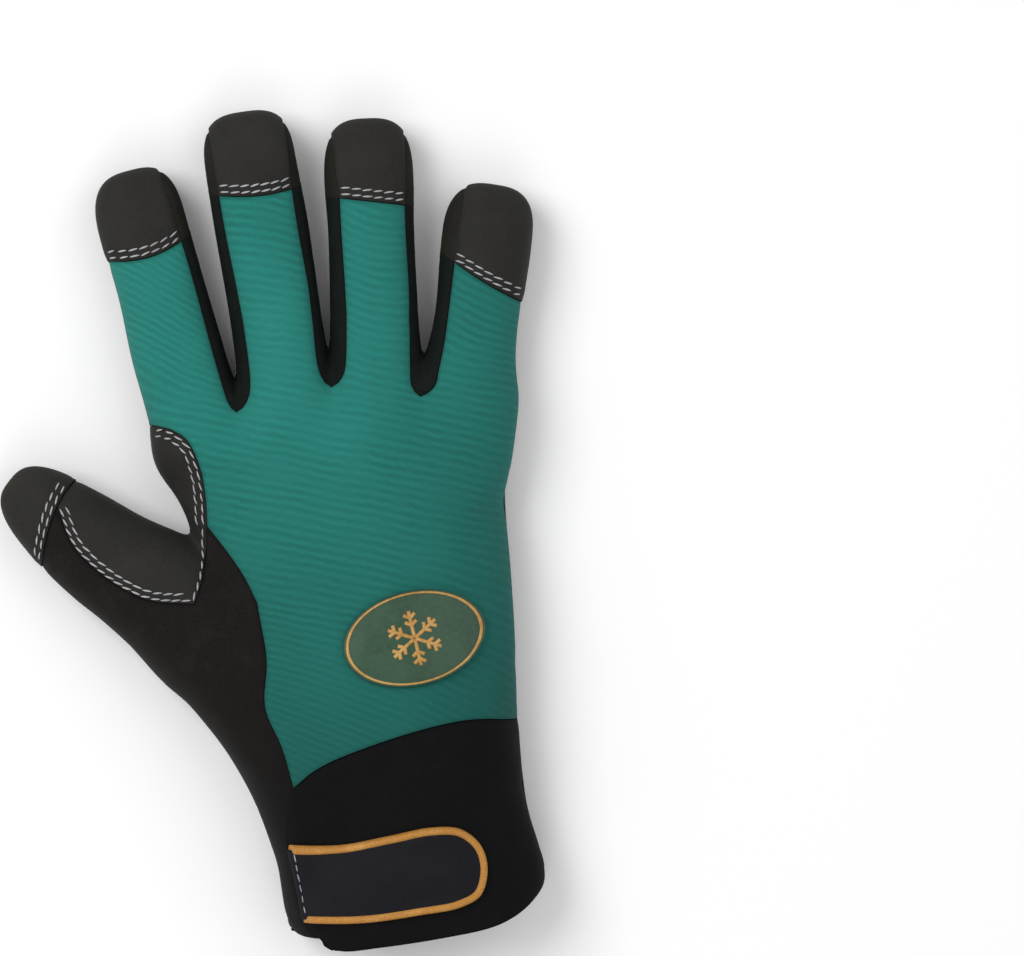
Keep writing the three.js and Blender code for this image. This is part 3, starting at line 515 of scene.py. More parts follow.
FOLDS = tuple(Fold(Side.BACK, *row) for row in (
    ((-26, 20), (-10, 16), 3.0, -0.8), ((-26, 26), (-8, 22), 4.0, 0.6),
    ((56, -6), (66, -1), 4.0, -0.7), ((54, 3), (66, 8), 5.0, 0.7),
    ((42, -52), (54, -64), 3.2, -0.7), ((46, -44), (57, -52), 3.6, -0.6),
    ((30, -60), (46, -65), 3.4, -0.5), ((-15, -60), (2, -66), 3.5, -0.6),
    ((-14, -48), (-2, -53), 5.0, 0.5), ((-28, -60), (-18, -70), 4.0, -0.9),
    ((-40, -46), (-24, -52), 4.5, -0.8), ((-33, -40), (-22, -34), 4.0, 0.6),
    ((-52, -12), (-42, -24), 4.0, -0.8), ((-62, 0), (-56, -10), 3.5, -0.7),
    ((-24, 60), (-36, 58), 3.0, -0.5), ((-5, 66), (12, 66), 3.5, -0.5),
    ((26, 62), (44, 58), 3.5, -0.5), ((57, 42), (72, 36), 3.5, -0.5),
    ((45, -84), (58, -92), 4.0, -0.8), ((-8, -84), (14, -86), 5.0, -0.6),
    ((48, -112), (57, -104), 4.0, -0.6),
))


@dataclass(frozen=True)
class Finger:
    """A finger's cap edges and how far its side strips reach in.

    Attributes:
        name: The tube's name.
        top: Left, middle and right distance of the cap's edge on the back.
        palm: The same on the palm side.
        left: How far the left strip reaches in from the outline, or None for no strip.
        right: The same at the right.
    """

    name: str
    top: Row
    palm: Row
    left: float | None
    right: float | None


FINGERS = (
    Finger("index", (57.2, 54.9, 58.9), (57.2, 54, 58.9), None, 3),
    Finger("middle", (71.5, 68.7, 70.4), (71.5, 57, 70.4), 3.0, 2.6),
    Finger("ring", (68.7, 66.3, 64.9), (68.7, 60, 64.9), 4.2, 2.4),
    Finger("little", (52.5, 45.4, 41.4), (52.5, 43.5, 41.4), 4.2, None),
)
CROTCHES = (
    {"crotch": (-12.7, 48.6), "top": (-13.7, 37.8), "palm": (-12.6, 41)},
    {"crotch": (17.3, 53), "top": (16.4, 41.2), "palm": (16.8, 43.5)},
    {"crotch": (46.3, 47), "top": (42.8, 34), "palm": (44.4, 35.5)},
)
PALM_INSET = 2.6
TIP_START = 1.5
THUMB_CAP_TOP = (50.5, 57, 59)
THUMB_CAP_PALM = (50.5, 48.5, 59)
SADDLE_SHARE = 0.22
UNDER_SHARE = 0.6
WEB_REACH = 10
CROTCH_RISE = 14
TOE = ((0.4, 0.13), (0.78, 0.45))
TOE_CLEAR = 8
TOE_INSET = 3.4
TOE_WIDTH = 2.6
TOE_RUN = 6

JOIN = {
    "cuff_left": (-25.5, -86), "cuff_top": (-14.6, -78.6), "cuff_palm": (-18.5, -73),
    "cuff_right": (57.4, -69), "spike_foot": (-16.6, -21), "spike_tip": (-28.3, 4.5),
    "saddle_corner": (-35.5, -18.2), "saddle_top": (-35, 35.6), "saddle_palm": (-36, 34.5),
    "saddle_end": (-41, 38), "thumb_heel": (-55.5, -32), "web_palm": (-32, -5),
    "thumb_web": (-32, 0.4), "heel_palm": (-50, -29.5), "little_base": (71, 28),
}
SEAM = {
    "cuff_top_left": ("thumb_back spike", Ease.EVEN, "cuff_left", (-20, -82), "cuff_top"),
    "cuff_top": (
        "columns", Ease.END, "cuff_top", (-6.1, -73.8), (12.2, -69.2), (40.1, -66.3), "cuff_right"),
    "cuff_palm_left": ("heel_band", Ease.EVEN, "cuff_left", (-23, -78), "cuff_palm"),
    "cuff_palm": ("columns", Ease.END, "cuff_palm", (3, -74.5), (32, -77.5), (50, -74), "cuff_right"),
    "green_low": ("low", Ease.EVEN, "cuff_top", (-16.2, -66), (-19.3, -53), (-16.6, -39), "spike_foot"),
    "green_spike": ("spike", Ease.EVEN, "spike_foot", (-19.6, -12.3), "spike_tip"),
    "green_high": ("high", Ease.EVEN, "spike_tip", (-27.4, 14), (-28, 25), (-30.6, 32), "saddle_top"),
    "saddle_end_top": ("end", Ease.END, "saddle_top", "saddle_end"),
    "saddle_end_palm": ("end", Ease.END, "saddle_palm", "saddle_end"),
    "saddle_spike": ("spike", Ease.EVEN, "saddle_corner", (-31.6, -10.4), "spike_tip"),
    "thumb_base_top": ("thumb_back", Ease.START, "thumb_heel", (-46, -24), "saddle_corner"),
    "spike_base": ("spike", Ease.EVEN, "saddle_corner", (-27, -20), "spike_foot"),
    "heel_band": ("heel_band", Ease.START, "thumb_heel", "heel_palm"),
    "palm_base": ("palm_base", Ease.EVEN, "heel_palm", (-42, -20.5), (-36, -12.5), "web_palm"),
    "palm_thenar": (
        "low", Ease.EVEN, "cuff_palm", (-24, -66), (-31, -56), (-40, -46), (-48, -37), "heel_palm"),
    "palm_web": ("high", Ease.EVEN, "web_palm", (-28.3, 0.6), (-32, 16), (-34, 27), "saddle_palm"),
}
RIM_SEAM = {
    "ulnar_side": (
        "rows", Ease.EVEN, "cuff_right", (60, -46.6), (62.6, -20), (64.8, 4), (70, 22), "little_base"),
    "thenar_outer": ("low", Ease.EVEN, "cuff_left", (-30.2, -75), (-36.5, -61), (-45.8, -46), "thumb_heel"),
    "web_index": ("high", Ease.EVEN, "thumb_web", (-35.5, 9), (-38.2, 22), "saddle_end"),
}
RIM_JOIN = ("cuff_left", "cuff_right", "thumb_heel", "thumb_web", "saddle_end", "little_base")
SADDLE_BACK = ((-35.5, -18.2), (-48.8, -15.4), (-57.2, -10.1), (-64.7, -2.7), (-70.1, 5.6))
SADDLE_UNDER = ((-32, -5), (-41, 0.5), (-52, 8.5))
THUMB_OUTER = ((-55.5, -32), (-62.2, -23), (-68.5, -15.5), (-75.5, -7))
WEB_THUMB = ((-57, 18.6), (-47.7, 10.9), (-37.5, 4))
HEM = ((-23.5, -119), (-21, -124), (-13, -126.5), (-9, -130), (4, -130.9), (24, -131),
       (42, -129.6), (52, -125.6), (57.4, -120.5), (58.6, -114))
CUFF_BAND = ((-14.6, -78.6), (-18.1, -94), (-17.5, -119.5), (-13.1, -127.9))

PALM_PADS = {
    "palm_pad_upper": {
        "south": ((-25, -1), (-14.9, 4.6), (4.6, 10), (26.2, 3.7), (43, -4), (55, -8)),
        "north": ((-28.5, 19.5), (-14.7, 29.6), (4, 33.6), (7.6, 30.5), (3.2, 21.5), (18, 23),
                  (34, 25), (57, 19)),
        "west": ((-25, -1), (-28.5, 8), (-28.5, 19.5)),
        "east": ((55, -8), (58, 5), (57, 19)),
    },
    "palm_pad_heel": {
        "south": ((-3.5, -70), (12, -71.2), (30, -71.5), (51, -68.5)),
        "north": ((-1.5, 1.5), (5, 4.8), (14.1, 1.4), (39, -10.5), (55, -15.5)),
        "west": ((-3.5, -70), (16, -55.1), (27, -42), (27.5, -31), (18.7, -15.8), (2.7, -5.5),
                 (-1.5, 1.5)),
        "east": ((51, -68.5), (53.5, -45), (55, -15.5)),
    },
    "palm_pad_thenar": {
        "south": ((-19.2, -64.6), (-15.5, -65)),
        "north": ((-27.3, -9.5), (-19.5, -3.5), (-12, 1.2)),
        "west": ((-19.2, -64.6), (-28.5, -53), (-37.5, -38), (-30, -25), (-27.3, -9.5)),
        "east": ((-15.5, -65), (6.4, -52.5), (18.5, -40), (19, -28), (4, -14.5), (-6, -5),
                 (-12, 1.2)),
    },
}
DIGIT_PATCHES = (
    ("index_patch_mid", "index", (28.6, 29.3, 32), (36, 46, 50)),
    ("index_patch_base", "index", (4, 2, 7), (21, 20.7, 23)),
    ("middle_patch_mid", "middle", (29.5, 32, 34.5), (60, 48.5, 59)),
    ("middle_patch_base", "middle", (15, 5, 12), (26.3, 25.6, 25)),
    ("ring_patch_mid", "ring", (35.5, 33.8, 33), (57, 52, 49)),
    ("ring_patch_base", "ring", (13, 7, 8), (31, 26, 21)),
    ("little_patch_mid", "little", (28, 26, 24), (38.5, 37, 35.5)),
    ("little_patch_base", "little", (11.5, 6.5, 6), (23, 21, 19)),
    ("thumb_patch", "thumb", (11, 12, 17), (43, 40, 46)),
)
PATCH_REACH = 0.78
BADGES = (
    ("badge_back", (28.9, -39), (22.0, 14.5), 4.5, Side.BACK, (1.9, 1.2)),
    ("badge_cuff", (20.5, -107), (7.4, 16.2), 3, Side.PALM, (0.62, 0.4)),
)

STEPS = {name: count * DETAIL for name, count in {
    "column": 5, "finger": 5, "across": 2, "low": 5, "spike": 2, "high": 4, "end": 3, "thumb": 5,
    "thumb_back": 4, "heel_band": 2, "palm_base": 2, "cap": 4, "cuff": 4, "columns": 20, "rows": 14,
}.items()}


@dataclass
class FingerSeams:
    """The seams of one finger, all in plan.

    Attributes:
        finger: The finger's table.
        panel: The part of the cap's edge over the panel, for each side of the hand.
        spacing: Shares across at its points, for each side of the hand.
        edge: The whole edge of the cap, for each side of the hand.
        corner: Its parts beside the panel, for the finger's side (-1 or 1) and the hand's.
        sides: The seams on the back, the outline and the palm, for the finger's side.
    """

    finger: Finger
    panel: dict[Side, Array] = field(default_factory=dict)
    spacing: dict[Side, Array] = field(default_factory=dict)
    edge: dict[Side, Array] = field(default_factory=dict)
    corner: dict[tuple[int, Side], Array] = field(default_factory=dict)
    sides: dict[int, dict[str, Array]] = field(default_factory=dict)


LEVELS = {Side.BACK: "top", Side.PALM: "palm"}


class Pattern:
    """The glove's cutting pattern: every seam in plan, shared by the pieces on both sides of it."""

    def __init__(self, form: HandForm) -> None:
        """Works out every seam.

        Args:
            form: The hand.
        """
        self.form = form
        self.crotches = [{**web, "crotch": self.on_rim(web["crotch"])} for web in CROTCHES]
        self.rim = {name: self.on_rim(JOIN[name]) for name in RIM_JOIN}
        self.fingers = [self.finger_seams(finger, k) for k, finger in enumerate(FINGERS)]
        self.seams = self.hand_seams()
        self.make_thumb()

    def on_rim(self, point: Point | Array) -> Array:
        """One plan point moved onto the outline."""
        return self.form.rim(np.asarray(point, float))[0]

    def rim_line(self, points: list, count: int, start: Array, end: Array) -> Array:
        """A smooth line through points, moved onto the outline between a start and an end on it."""
        return pinned(self.form.rim(smooth_line(np.array(points, float), steps(count))), start, end)

    def cap_edge(self, tube: Tube, row: tuple, splits: list[float], counts: list[int]) -> list[Array]:
        """Makes the edge of a cap in parts from left to right.

        Args:
            tube: The digit.
            row: Left, middle and right distance of the edge.
            splits: Shares across where the parts start and end.
            counts: Steps in each part.

        Returns:
            The parts, whose outer ends lie on the outline.
        """
        lists = [spread(splits[k], splits[k + 1], count) for k, count in enumerate(counts)]
        parts = [tube.place(across_row(row, shares_), shares_) for shares_ in lists]
        parts[0][0] = self.on_rim(parts[0][0])
        parts[-1][-1] = self.on_rim(parts[-1][-1])
        return parts

    def finger_seams(self, finger: Finger, k: int) -> FingerSeams:
        """Works out the seams of one finger.

        Args:
            finger: Its table.
            k: Its number, from the index finger's 0.

        Returns:
            Its seams.
        """
        tube = TUBES[finger.name]
        seams = FingerSeams(finger)
        first, last = finger.left is not None, finger.right is not None
        counts = [STEPS["across"]] * first + [STEPS["column"]] + [STEPS["across"]] * last
        for side, row in ((Side.BACK, finger.top), (Side.PALM, finger.palm)):
            splits = []
            for sign, inset in ((-1, finger.left), (1, finger.right)):
                depth = inset if side is Side.BACK else PALM_INSET
                at = across_row(row, sign)
                splits.append(float(sign) if inset is None else tube.inset_share(at, depth, sign))
            parts = self.cap_edge(tube, row, [-1.0] * first + splits + [1.0] * last, counts)
            seams.edge[side], seams.panel[side] = joined(*parts), parts[first]
            seams.spacing[side] = spread(*splits, STEPS["column"])
            seams.corner.update({(-1, side): parts[0]} if first else {})
            seams.corner.update({(1, side): parts[-1]} if last else {})
        seams.sides[-1] = self.side_seams(seams, tube, -1, k - 1, finger.left)
        seams.sides[1] = self.side_seams(seams, tube, 1, k, finger.right)
        return seams

    def side_seams(
        self, seams: FingerSeams, tube: Tube, sign: int, web: int, inset: float | None
    ) -> dict[str, Array]:
        """Works out the seams down one side of a finger.

        Args:
            seams: The finger's cap edges.
            tube: The finger.
            sign: -1 for its left side and 1 for its right.
            web: The number of the gap at that side.
            inset: How far the strip reaches in, or None on an outer side.

        Returns:
            The seam on the back, the outline and the seam on the palm.
        """
        start = min(seams.finger.top)
        end = 0 if sign < 0 else -1
        tip = seams.edge[Side.BACK][end]
        near, far = WEB_REACH, (WEB_REACH + start) / 2
        if inset is None:
            foot = self.rim["saddle_end" if sign < 0 else "little_base"]
            outer = self.rim_line([foot, tube.place(far, sign), tip], STEPS["finger"], foot, tip)
            return {"top": outer, "middle": outer, "palm": outer}
        lines = {}
        for side, depth in ((Side.BACK, inset), (Side.PALM, PALM_INSET)):
            foot = np.array(self.crotches[web][LEVELS[side]], float)
            free = max(near, (foot - np.array(tube.base)) @ tube.along + TOE_CLEAR)
            clear = tube.place(free, tube.inset_share(free, max(depth, TOE_INSET), sign))
            apart = clear - foot
            apart[0] = -sign * max(-sign * apart[0], TOE_WIDTH)
            on = max(far, free + TOE_RUN)
            points = [foot, *(foot + apart * share for share in TOE), clear]
            points += [tube.place(on, tube.inset_share(on, depth, sign)), seams.panel[side][end]]
            lines[LEVELS[side]] = smooth_line(points, steps(STEPS["finger"]))
        rise = near + CROTCH_RISE
        crotch = self.crotches[web]["crotch"]
        points = [crotch, tube.place(rise, sign), tube.place((rise + start) / 2, sign), tip]
        lines["middle"] = self.rim_line(points, STEPS["finger"], crotch, tip)
        return lines

    def hand_seams(self) -> dict[str, Array]:
        """Works out the seams of the hand and the cuff.

        Returns:
            Each seam by name, smooth between its ends.
        """
        lines = {}
        for name, (parts, ease, *path) in {**SEAM, **RIM_SEAM}.items():
            count = sum(STEPS[part] for part in parts.split())
            line = smooth_line([JOIN.get(point, point) for point in path], steps(count, ease))
            line = self.form.rim(line) if name in RIM_SEAM else line
            lines[name] = pinned(line, *(self.rim.get(end, JOIN[end]) for end in (path[0], path[-1])))
        return lines

    def make_thumb(self) -> None:
        """Works out the seams of the thumb and of the saddle."""
        thumb, counts = TUBES["thumb"], [STEPS["thumb_back"], STEPS["end"]]
        self.thumb_top = self.cap_edge(thumb, THUMB_CAP_TOP, [-1, SADDLE_SHARE, 1], counts)
        self.thumb_palm = self.cap_edge(thumb, THUMB_CAP_PALM, [-1, UNDER_SHARE, 1], counts)
        heel, tip = self.rim["thumb_heel"], self.thumb_top[0][0]
        self.thumb_outer = self.rim_line([*THUMB_OUTER, tip], STEPS["thumb"], heel, tip)
        self.saddle_back = smooth_line([*SADDLE_BACK, self.thumb_top[1][0]], steps(STEPS["thumb"]))
        end, count = self.thumb_top[1][-1], STEPS["thumb"] + STEPS["spike"]
        web = self.rim_line([end, *WEB_THUMB, JOIN["thumb_web"]], count, end, self.rim["thumb_web"])
        self.saddle_outline = joined(web, self.seams["web_index"])

    def under_seam(self, count: int) -> Array:
        """The seam under the thumb, from the web to the cap."""
        return smooth_line([*SADDLE_UNDER, self.thumb_palm[1][0]], steps(count))

    def finger_foot(self, seams: FingerSeams, side: Side) -> Array:
        """Makes the line where a finger starts, spaced like its cap's edge.

        Args:
            seams: The finger's seams.
            side: The side of the glove.

        Returns:
            The line in plan.
        """
        start, end = (seams.sides[sign][LEVELS[side]][0] for sign in (-1, 1))
        spacing = seams.spacing[side]
        share = (spacing - spacing[0]) / (spacing[-1] - spacing[0])
        return start + (end - start) * share[:, None]

    def finger_grid(self, seams: FingerSeams, side: Side) -> Array:
        """The patch of a finger between its foot and its cap."""
        west, east = (seams.sides[sign][LEVELS[side]] for sign in (-1, 1))
        return self.patch(self.finger_foot(seams, side), seams.panel[side], west, east, side)

    def run(self, names: str) -> Array:
        """The seams with these names, joined end to end."""
        return joined(*[self.seams[name] for name in names.split()])

    def side_grids(self, side: Side, foot: str, inner: str) -> list[Array]:
        """Makes the patches of one side of the hand and of its fingers.

        Args:
            side: The side of the glove.
            foot: The seam at the cuff.
            inner: The seams towards the thumb, from the cuff up.

        Returns:
            The hand's patch and the four fingers'.
        """
        feet = joined(*[self.finger_foot(finger, side) for finger in self.fingers])
        hand = self.patch(self.seams[foot], feet, self.run(inner), self.seams["ulnar_side"], side)
        return [hand, *[self.finger_grid(finger, side) for finger in self.fingers]]

    def patch(self, south: Array, north: Array, west: Array, east: Array, side: Side) -> Array:
        """Four edges in plan filled with a grid and lifted to the form."""
        return self.form.lift(coons(south, north, west, east), side)

    def tip_line(self, tube: Tube, row: tuple, count: int) -> Array:
        """Makes the outline round a fingertip.

        A point at angle a is (-cos a, sin a) stretched onto the rounded end of the tube.

        Args:
            tube: The digit.
            row: Its cap's edge on the back.
            count: How many steps.

        Returns:
            The outline from just past the cap edge's left end to just past its right end.
        """
        end, length = tube.ends[2:]
        past = np.maximum(0, (np.array([row[0], row[2]]) + TIP_START - end) / length)
        first, last = np.arctan2(past, (1 - past**PLAN_POWER) ** (1 / PLAN_POWER))
        angle = first + (math.pi - last - first) * np.linspace(0, 1, count + 1)
        c, s = -np.cos(angle), np.sin(angle)
        reach = (np.abs(c) ** PLAN_POWER + s**PLAN_POWER) ** (1 / PLAN_POWER)
        return self.form.rim(tube.place(end + s / reach * length, c / reach))

    def cap_grids(self, tube: Tube, row: tuple, top: Array, palm: Array) -> list[Array]:
        """Makes the two patches of a cap, from its edges to the outline of the fingertip.

        Args:
            tube: The digit.
            row: The cap's edge on the back, as a table row.
            top: That edge in plan.
            palm: The edge on the palm side.

        Returns:
            The patch on the back and the one on the palm side.
        """
        tip = self.tip_line(tube, row, len(top) - 1)
        rows = steps(STEPS["cap"], Ease.END)
        west, east = (
            pinned(self.form.rim(smooth_line([top[k], tip[k]], rows)), top[k], tip[k]) for k in (0, -1)
        )
        return [self.patch(top, tip, west, east, Side.BACK), self.patch(palm, tip, west, east, Side.PALM)]


# Cloth made from patches

LINING_SLOT = 1
SIDE_SLOT = 2
CLOSED_SHARE = 0.08
CLOSED_REACH = 0.2
OPEN_REACH = 2.0
DIP_REACH = 1.7
ROLL_ANGLES = (35.0, 65.0, 90.0)
OVER = 0.36
SEAM_GAP = 0.16
ROW_GROOVE = (0.6, 0.18)
SHARP_CORNER = 0.6
FLUSH_CLEAR = 5
WELD_GRID = 500
BLOCK_SIZE = 1500
SEED = 7
STITCH_SINK = 0.10
SEAM_DIP = 0.3
EDGE_BAND = 3.2


@dataclass
class Channel:
    """A groove or ridge that a seam, a stitch row or an edge presses into the cloth.

    Attributes:
        line: Points along it, shape (N, 3).
        width: How wide it is.
        depth: How deep it is, or below 0 for a ridge.
    """

    line: Array
    width: float
    depth: float


class Skin:
    """An open surface of triangles that face away from the hand."""

    def __init__(self, form: HandForm, grids: list[Array], zones: list[Array | None] | None = None) -> None:
        """Joins grids of points, and merges the points that they share.

        Args:
            form: The hand.
            grids: Grids of points, each rows by columns by three.
            zones: For each grid the material slot of each column of faces, or None for slot 0.
        """
        blocks, slots = [], []
        for k, grid in enumerate(grids):
            rows, columns = grid.shape[:2]
            own = grid_triangles(rows, columns)
            zone = zones[k] if zones and zones[k] is not None else np.zeros(columns - 1, int)
            slot = np.tile(np.broadcast_to(zone, (rows - 1, columns - 1)).ravel(), 2)
            flat = grid.reshape(-1, 3)
            if (face_normals(flat, own) * form.slope(flat[own].mean(axis=1))).sum() < 0:
                own = own[:, ::-1]
            blocks.append((flat, own))
            slots.append(slot)
        points, faces = gather(blocks)
        slots = np.concatenate(slots)
        first, faces, real = weld(points, faces)
        self.form = form
        self.points, self.faces, self.slots = points[first], faces, slots[real]
        self.rim, owner = open_edges(faces, len(first))
        self.rim_slots = self.slots[owner]
        run = self.points[self.rim[:, 1]] - self.points[self.rim[:, 0]]
        self.inward = unit(np.cross(face_normals(self.points, faces[owner]), run))

    def draw_in(self, amount: float, flush: list[Array]) -> None:
        """Draws the open edges in, with the cloth in a band beside them following less and less.

        Args:
            amount: How far the edge moves.
            flush: Seams that stay closed and level, as lines of points.
        """
        near, nearest = line_distance(self.points, self.points[self.rim])
        self.opening = np.ones(len(self.points))
        if flush:
            pairs = np.vstack([stretches(line) for line in flush])
            apart = (line_distance(self.points, pairs)[0] - CLOSED_REACH) / OPEN_REACH
            self.opening = CLOSED_SHARE + (1 - CLOSED_SHARE) * smooth_step(apart)
        pull = np.zeros_like(self.points)
        count = np.zeros(len(self.points))
        for k in range(2):
            np.add.at(pull, self.rim[:, k], self.inward)
            np.add.at(count, self.rim[:, k], 1)
        on_edge = count > 0
        size = np.linalg.norm(pull[on_edge], axis=1) / count[on_edge]
        pull[on_edge] = unit(pull[on_edge]) / np.maximum(size, SHARP_CORNER)[:, None]
        inside = (near < EDGE_BAND) & ~on_edge
        pull[inside] = pull[self.rim[nearest[inside]]].mean(axis=1)
        fade = np.clip(1 - near / EDGE_BAND, 0, 1)[:, None]
        moved = self.points + pull * fade * amount * self.opening[:, None]
        moving = on_edge | inside
        self.points[moving] = self.form.settle(moved[moving], 3)
        self.outward = np.zeros_like(self.points)
        self.outward[on_edge] = -pull[on_edge]
        self.near = near + FLUSH_CLEAR * (1 - self.opening)

    def solid(
        self, wall: float, proud: float, roll: float, channels: list[Channel]
    ) -> tuple[Array, Array, Array, dict[str, Array]]:
        """Gives the cloth its thickness, a rolled edge and its grooves.

        The outer face lies at proud + relief - SEAM_DIP exp(-(d / DIP_REACH)^2) - grooves, with d the
        distance to the edge. The edge turns down through a quarter circle and on to the inner face.
        Where a seam is flush, that dip and the rolled edge shrink to nearly nothing. Zones of
        another finish do not stand proud.

        Args:
            wall: Its thickness.
            proud: How far it stands off the form.
            roll: The radius of the rolled edge.
            channels: Grooves and ridges in it.

        Returns:
            Points, triangles, their material slots and the values known at each point.
        """
        form, points, near = self.form, self.points, self.near
        normal = form.normal(points)
        relief = form.relief(points)
        stands = np.full(len(points), float(proud))
        stands[self.faces[self.slots > LINING_SLOT]] = 0.0
        roll = roll * self.opening[:, None]
        height = stands + relief - SEAM_DIP * self.opening * np.exp(-((near / DIP_REACH) ** 2))
        for channel in channels:
            apart, _ = line_distance(points, stretches(channel.line))
            height = height - channel.depth * np.exp(-((apart / channel.width) ** 2))
        count = len(points)
        rim = np.unique(self.rim)
        place = np.zeros(count, int)
        place[rim] = np.arange(len(rim))
        loops = []
        for angle in np.radians(ROLL_ANGLES):
            drop = height[rim, None] - roll[rim] * (1 - math.cos(angle))
            loops.append(points[rim] + normal[rim] * drop + self.outward[rim] * roll[rim] * math.sin(angle))
        inner = points + normal * (np.minimum(height, stands + relief) - wall)[:, None]
        everything = [points + normal * height[:, None], *loops, inner]
        starts = np.cumsum([0] + [len(block) for block in everything])
        faces = [self.faces, self.faces[:, ::-1] + starts[-2]]
        slots = [self.slots, np.full(len(self.faces), LINING_SLOT)]
        p, q = self.rim.T
        chain = [(p, q)] + [(place[p] + start, place[q] + start) for start in starts[1:4]]
        chain.append((p + starts[-2], q + starts[-2]))
        for (a, b), (c, d) in zip(chain[:-1], chain[1:]):
            faces += [np.stack([b, a, c], 1), np.stack([b, c, d], 1)]
            slots += [self.rim_slots] * 2
        whole = np.vstack(everything)
        edge = np.concatenate([near, *[near[rim]] * 3, near])
        return whole, np.vstack(faces), np.concatenate(slots), {"edge": edge}


def weld(points: Array, faces: Array) -> tuple[Array, Array, Array]:
    """Merges points that lie in one place and drops triangles that have no area left.

    Args:
        points: Points, shape (N, 3).
        faces: Triangles between them.

    Returns:
        The points to keep, the triangles between those, and which triangles are left.
    """
    keys = np.round(points * WELD_GRID).astype(int)
    _, first, inverse = np.unique(keys, axis=0, return_index=True, return_inverse=True)
    faces = inverse.reshape(-1)[faces]
    real = (faces[:, 0] != faces[:, 1]) & (faces[:, 1] != faces[:, 2]) & (faces[:, 2] != faces[:, 0])
    return first, faces[real], real


def gather(blocks: list[Block]) -> Block:
    """Joins blocks into one, without merging any points.

    Args:
        blocks: Points and triangles of each.

    Returns:
        All points and triangles.
    """
    starts = np.cumsum([0] + [len(points) for points, _ in blocks])
    faces = [triangles + start for (_, triangles), start in zip(blocks, starts)]
    return np.vstack([points for points, _ in blocks]), np.vstack(faces)


def smooth_step(t: Array) -> Array:
    """The smooth step t^2 (3 - 2t), with t held between 0 and 1."""
    t = np.clip(t, 0, 1)
    return t * t * (3 - 2 * t)


def grid_triangles(rows: int, columns: int) -> Array:
    """Cuts each cell of a grid of points into two triangles.

    Args:
        rows: Its rows of points.
        columns: Its columns.

    Returns:
        The triangles.
    """
    index = np.arange(rows * columns).reshape(rows, columns)
    a, b, c, d = index[:-1, :-1], index[:-1, 1:], index[1:, 1:], index[1:, :-1]
    return np.vstack([np.stack(corners, -1).reshape(-1, 3) for corners in ((a, b, c), (a, c, d))])


def open_edges(faces: Array, size: int) -> Block:
    """Finds the edges that only one triangle has.

    Args:
        faces: Triangles.
        size: How many points there are.

    Returns:
        Those edges in their triangle's direction, and the triangles that they belong to.
    """
    edges = np.vstack([faces[:, pair] for pair in ([0, 1], [1, 2], [2, 0])])
    is_open = ~np.isin(edges @ [size, 1], edges @ [1, size])
    return edges[is_open], np.tile(np.arange(len(faces)), 3)[is_open]


def face_normals(points: Array, faces: Array) -> Array:
    """Each triangle's normal, as long as twice its area."""
    a, b, c = (points[faces[:, k]] for k in range(3))
    return np.cross(b - a, c - a)


def plate(top: Array, bottom: Array, faces: Array) -> Block:
    """Closes a top and a bottom face with a wall along their open edges.

    Args:
        top: Points of the top.
        bottom: The points below them.
        faces: Triangles of the top, facing outwards.

    Returns:
        All points and triangles.
    """
    size = len(top)
    p, q = open_edges(faces, size)[0].T
    walls = [np.stack([q, p, p + size], 1), np.stack([q, p + size, q + size], 1)]
    return np.vstack([top, bottom]), np.vstack([faces, faces[:, ::-1] + size, *walls])


def unit(vectors: Array) -> Array:
    """Vectors scaled to a length of one."""
    return vectors / np.maximum(np.linalg.norm(vectors, axis=-1, keepdims=True), 1e-9)


def stretches(line: Array) -> Array:
    """A line's straight stretches, as pairs of end points."""
    return np.stack([line[:-1], line[1:]], 1)


def line_distance(points: Array, pairs: Array) -> Block:
    """Finds how far points are from a line of short straight stretches.

    The nearest place on a stretch from a to b is a + t (b - a), with t the projection held
    between 0 and 1.

    Args:
        points: Points, shape (N, 3).
        pairs: Stretches as pairs of end points, shape (M, 2, 3).

    Returns:
        The distance to the nearest stretch, and that stretch's number.
    """
    start, run = pairs[:, 0], pairs[:, 1] - pairs[:, 0]
    size = np.maximum((run**2).sum(axis=1), 1e-12)
    apart = np.full(len(points), np.inf)
    nearest = np.zeros(len(points), int)
    for low in range(0, len(points), BLOCK_SIZE):
        block = points[low : low + BLOCK_SIZE]
        along = np.clip((block @ run.T - (start * run).sum(axis=1)) / size, 0, 1)
        away = sum((block[:, k, None] - start[:, k] - along * run[:, k]) ** 2 for k in range(3))
        pick = away.argmin(axis=1)
        nearest[low : low + BLOCK_SIZE] = pick
        apart[low : low + BLOCK_SIZE] = np.sqrt(away[np.arange(len(pick)), pick])
    return apart, nearest


RIB_BENDS = (("index", 0.42, 0.0), ("middle", -0.04, 0.004), ("ring", 0.05, -0.018), ("little", 0.30, 0.0))


def rib_phase(points: Array) -> Array:
    """Works out how far along the knit's ribs points lie, in millimetres across the ribs.

    Over the hand it is a slanting plane that turns steeper towards the cuff. On each finger a
    slope and a bow across the finger are blended in above the crotches.

    Args:
        points: Points on the back, shape (N, 3).

    Returns:
        The distance across the ribs.
    """
    x, y = points[:, 0], points[:, 1]
    phase = 0.35 * x + 0.95 * y + 0.34 * (x - 20) * smooth_step((-10 - y) / 70)
    reach = smooth_step((y - 38) / 22)
    best = np.full(len(points), np.inf)
    bend = np.zeros(len(points))
    for name, slope, bow in RIB_BENDS:
        tube = TUBES[name]
        offset = points[:, :2] - np.array(tube.base)
        across = offset @ tube.across
        closer = np.abs(across) < best
        best = np.where(closer, np.abs(across), best)
        bend = np.where(closer, slope * across + bow * across**2, bend)
    return phase + bend * reach


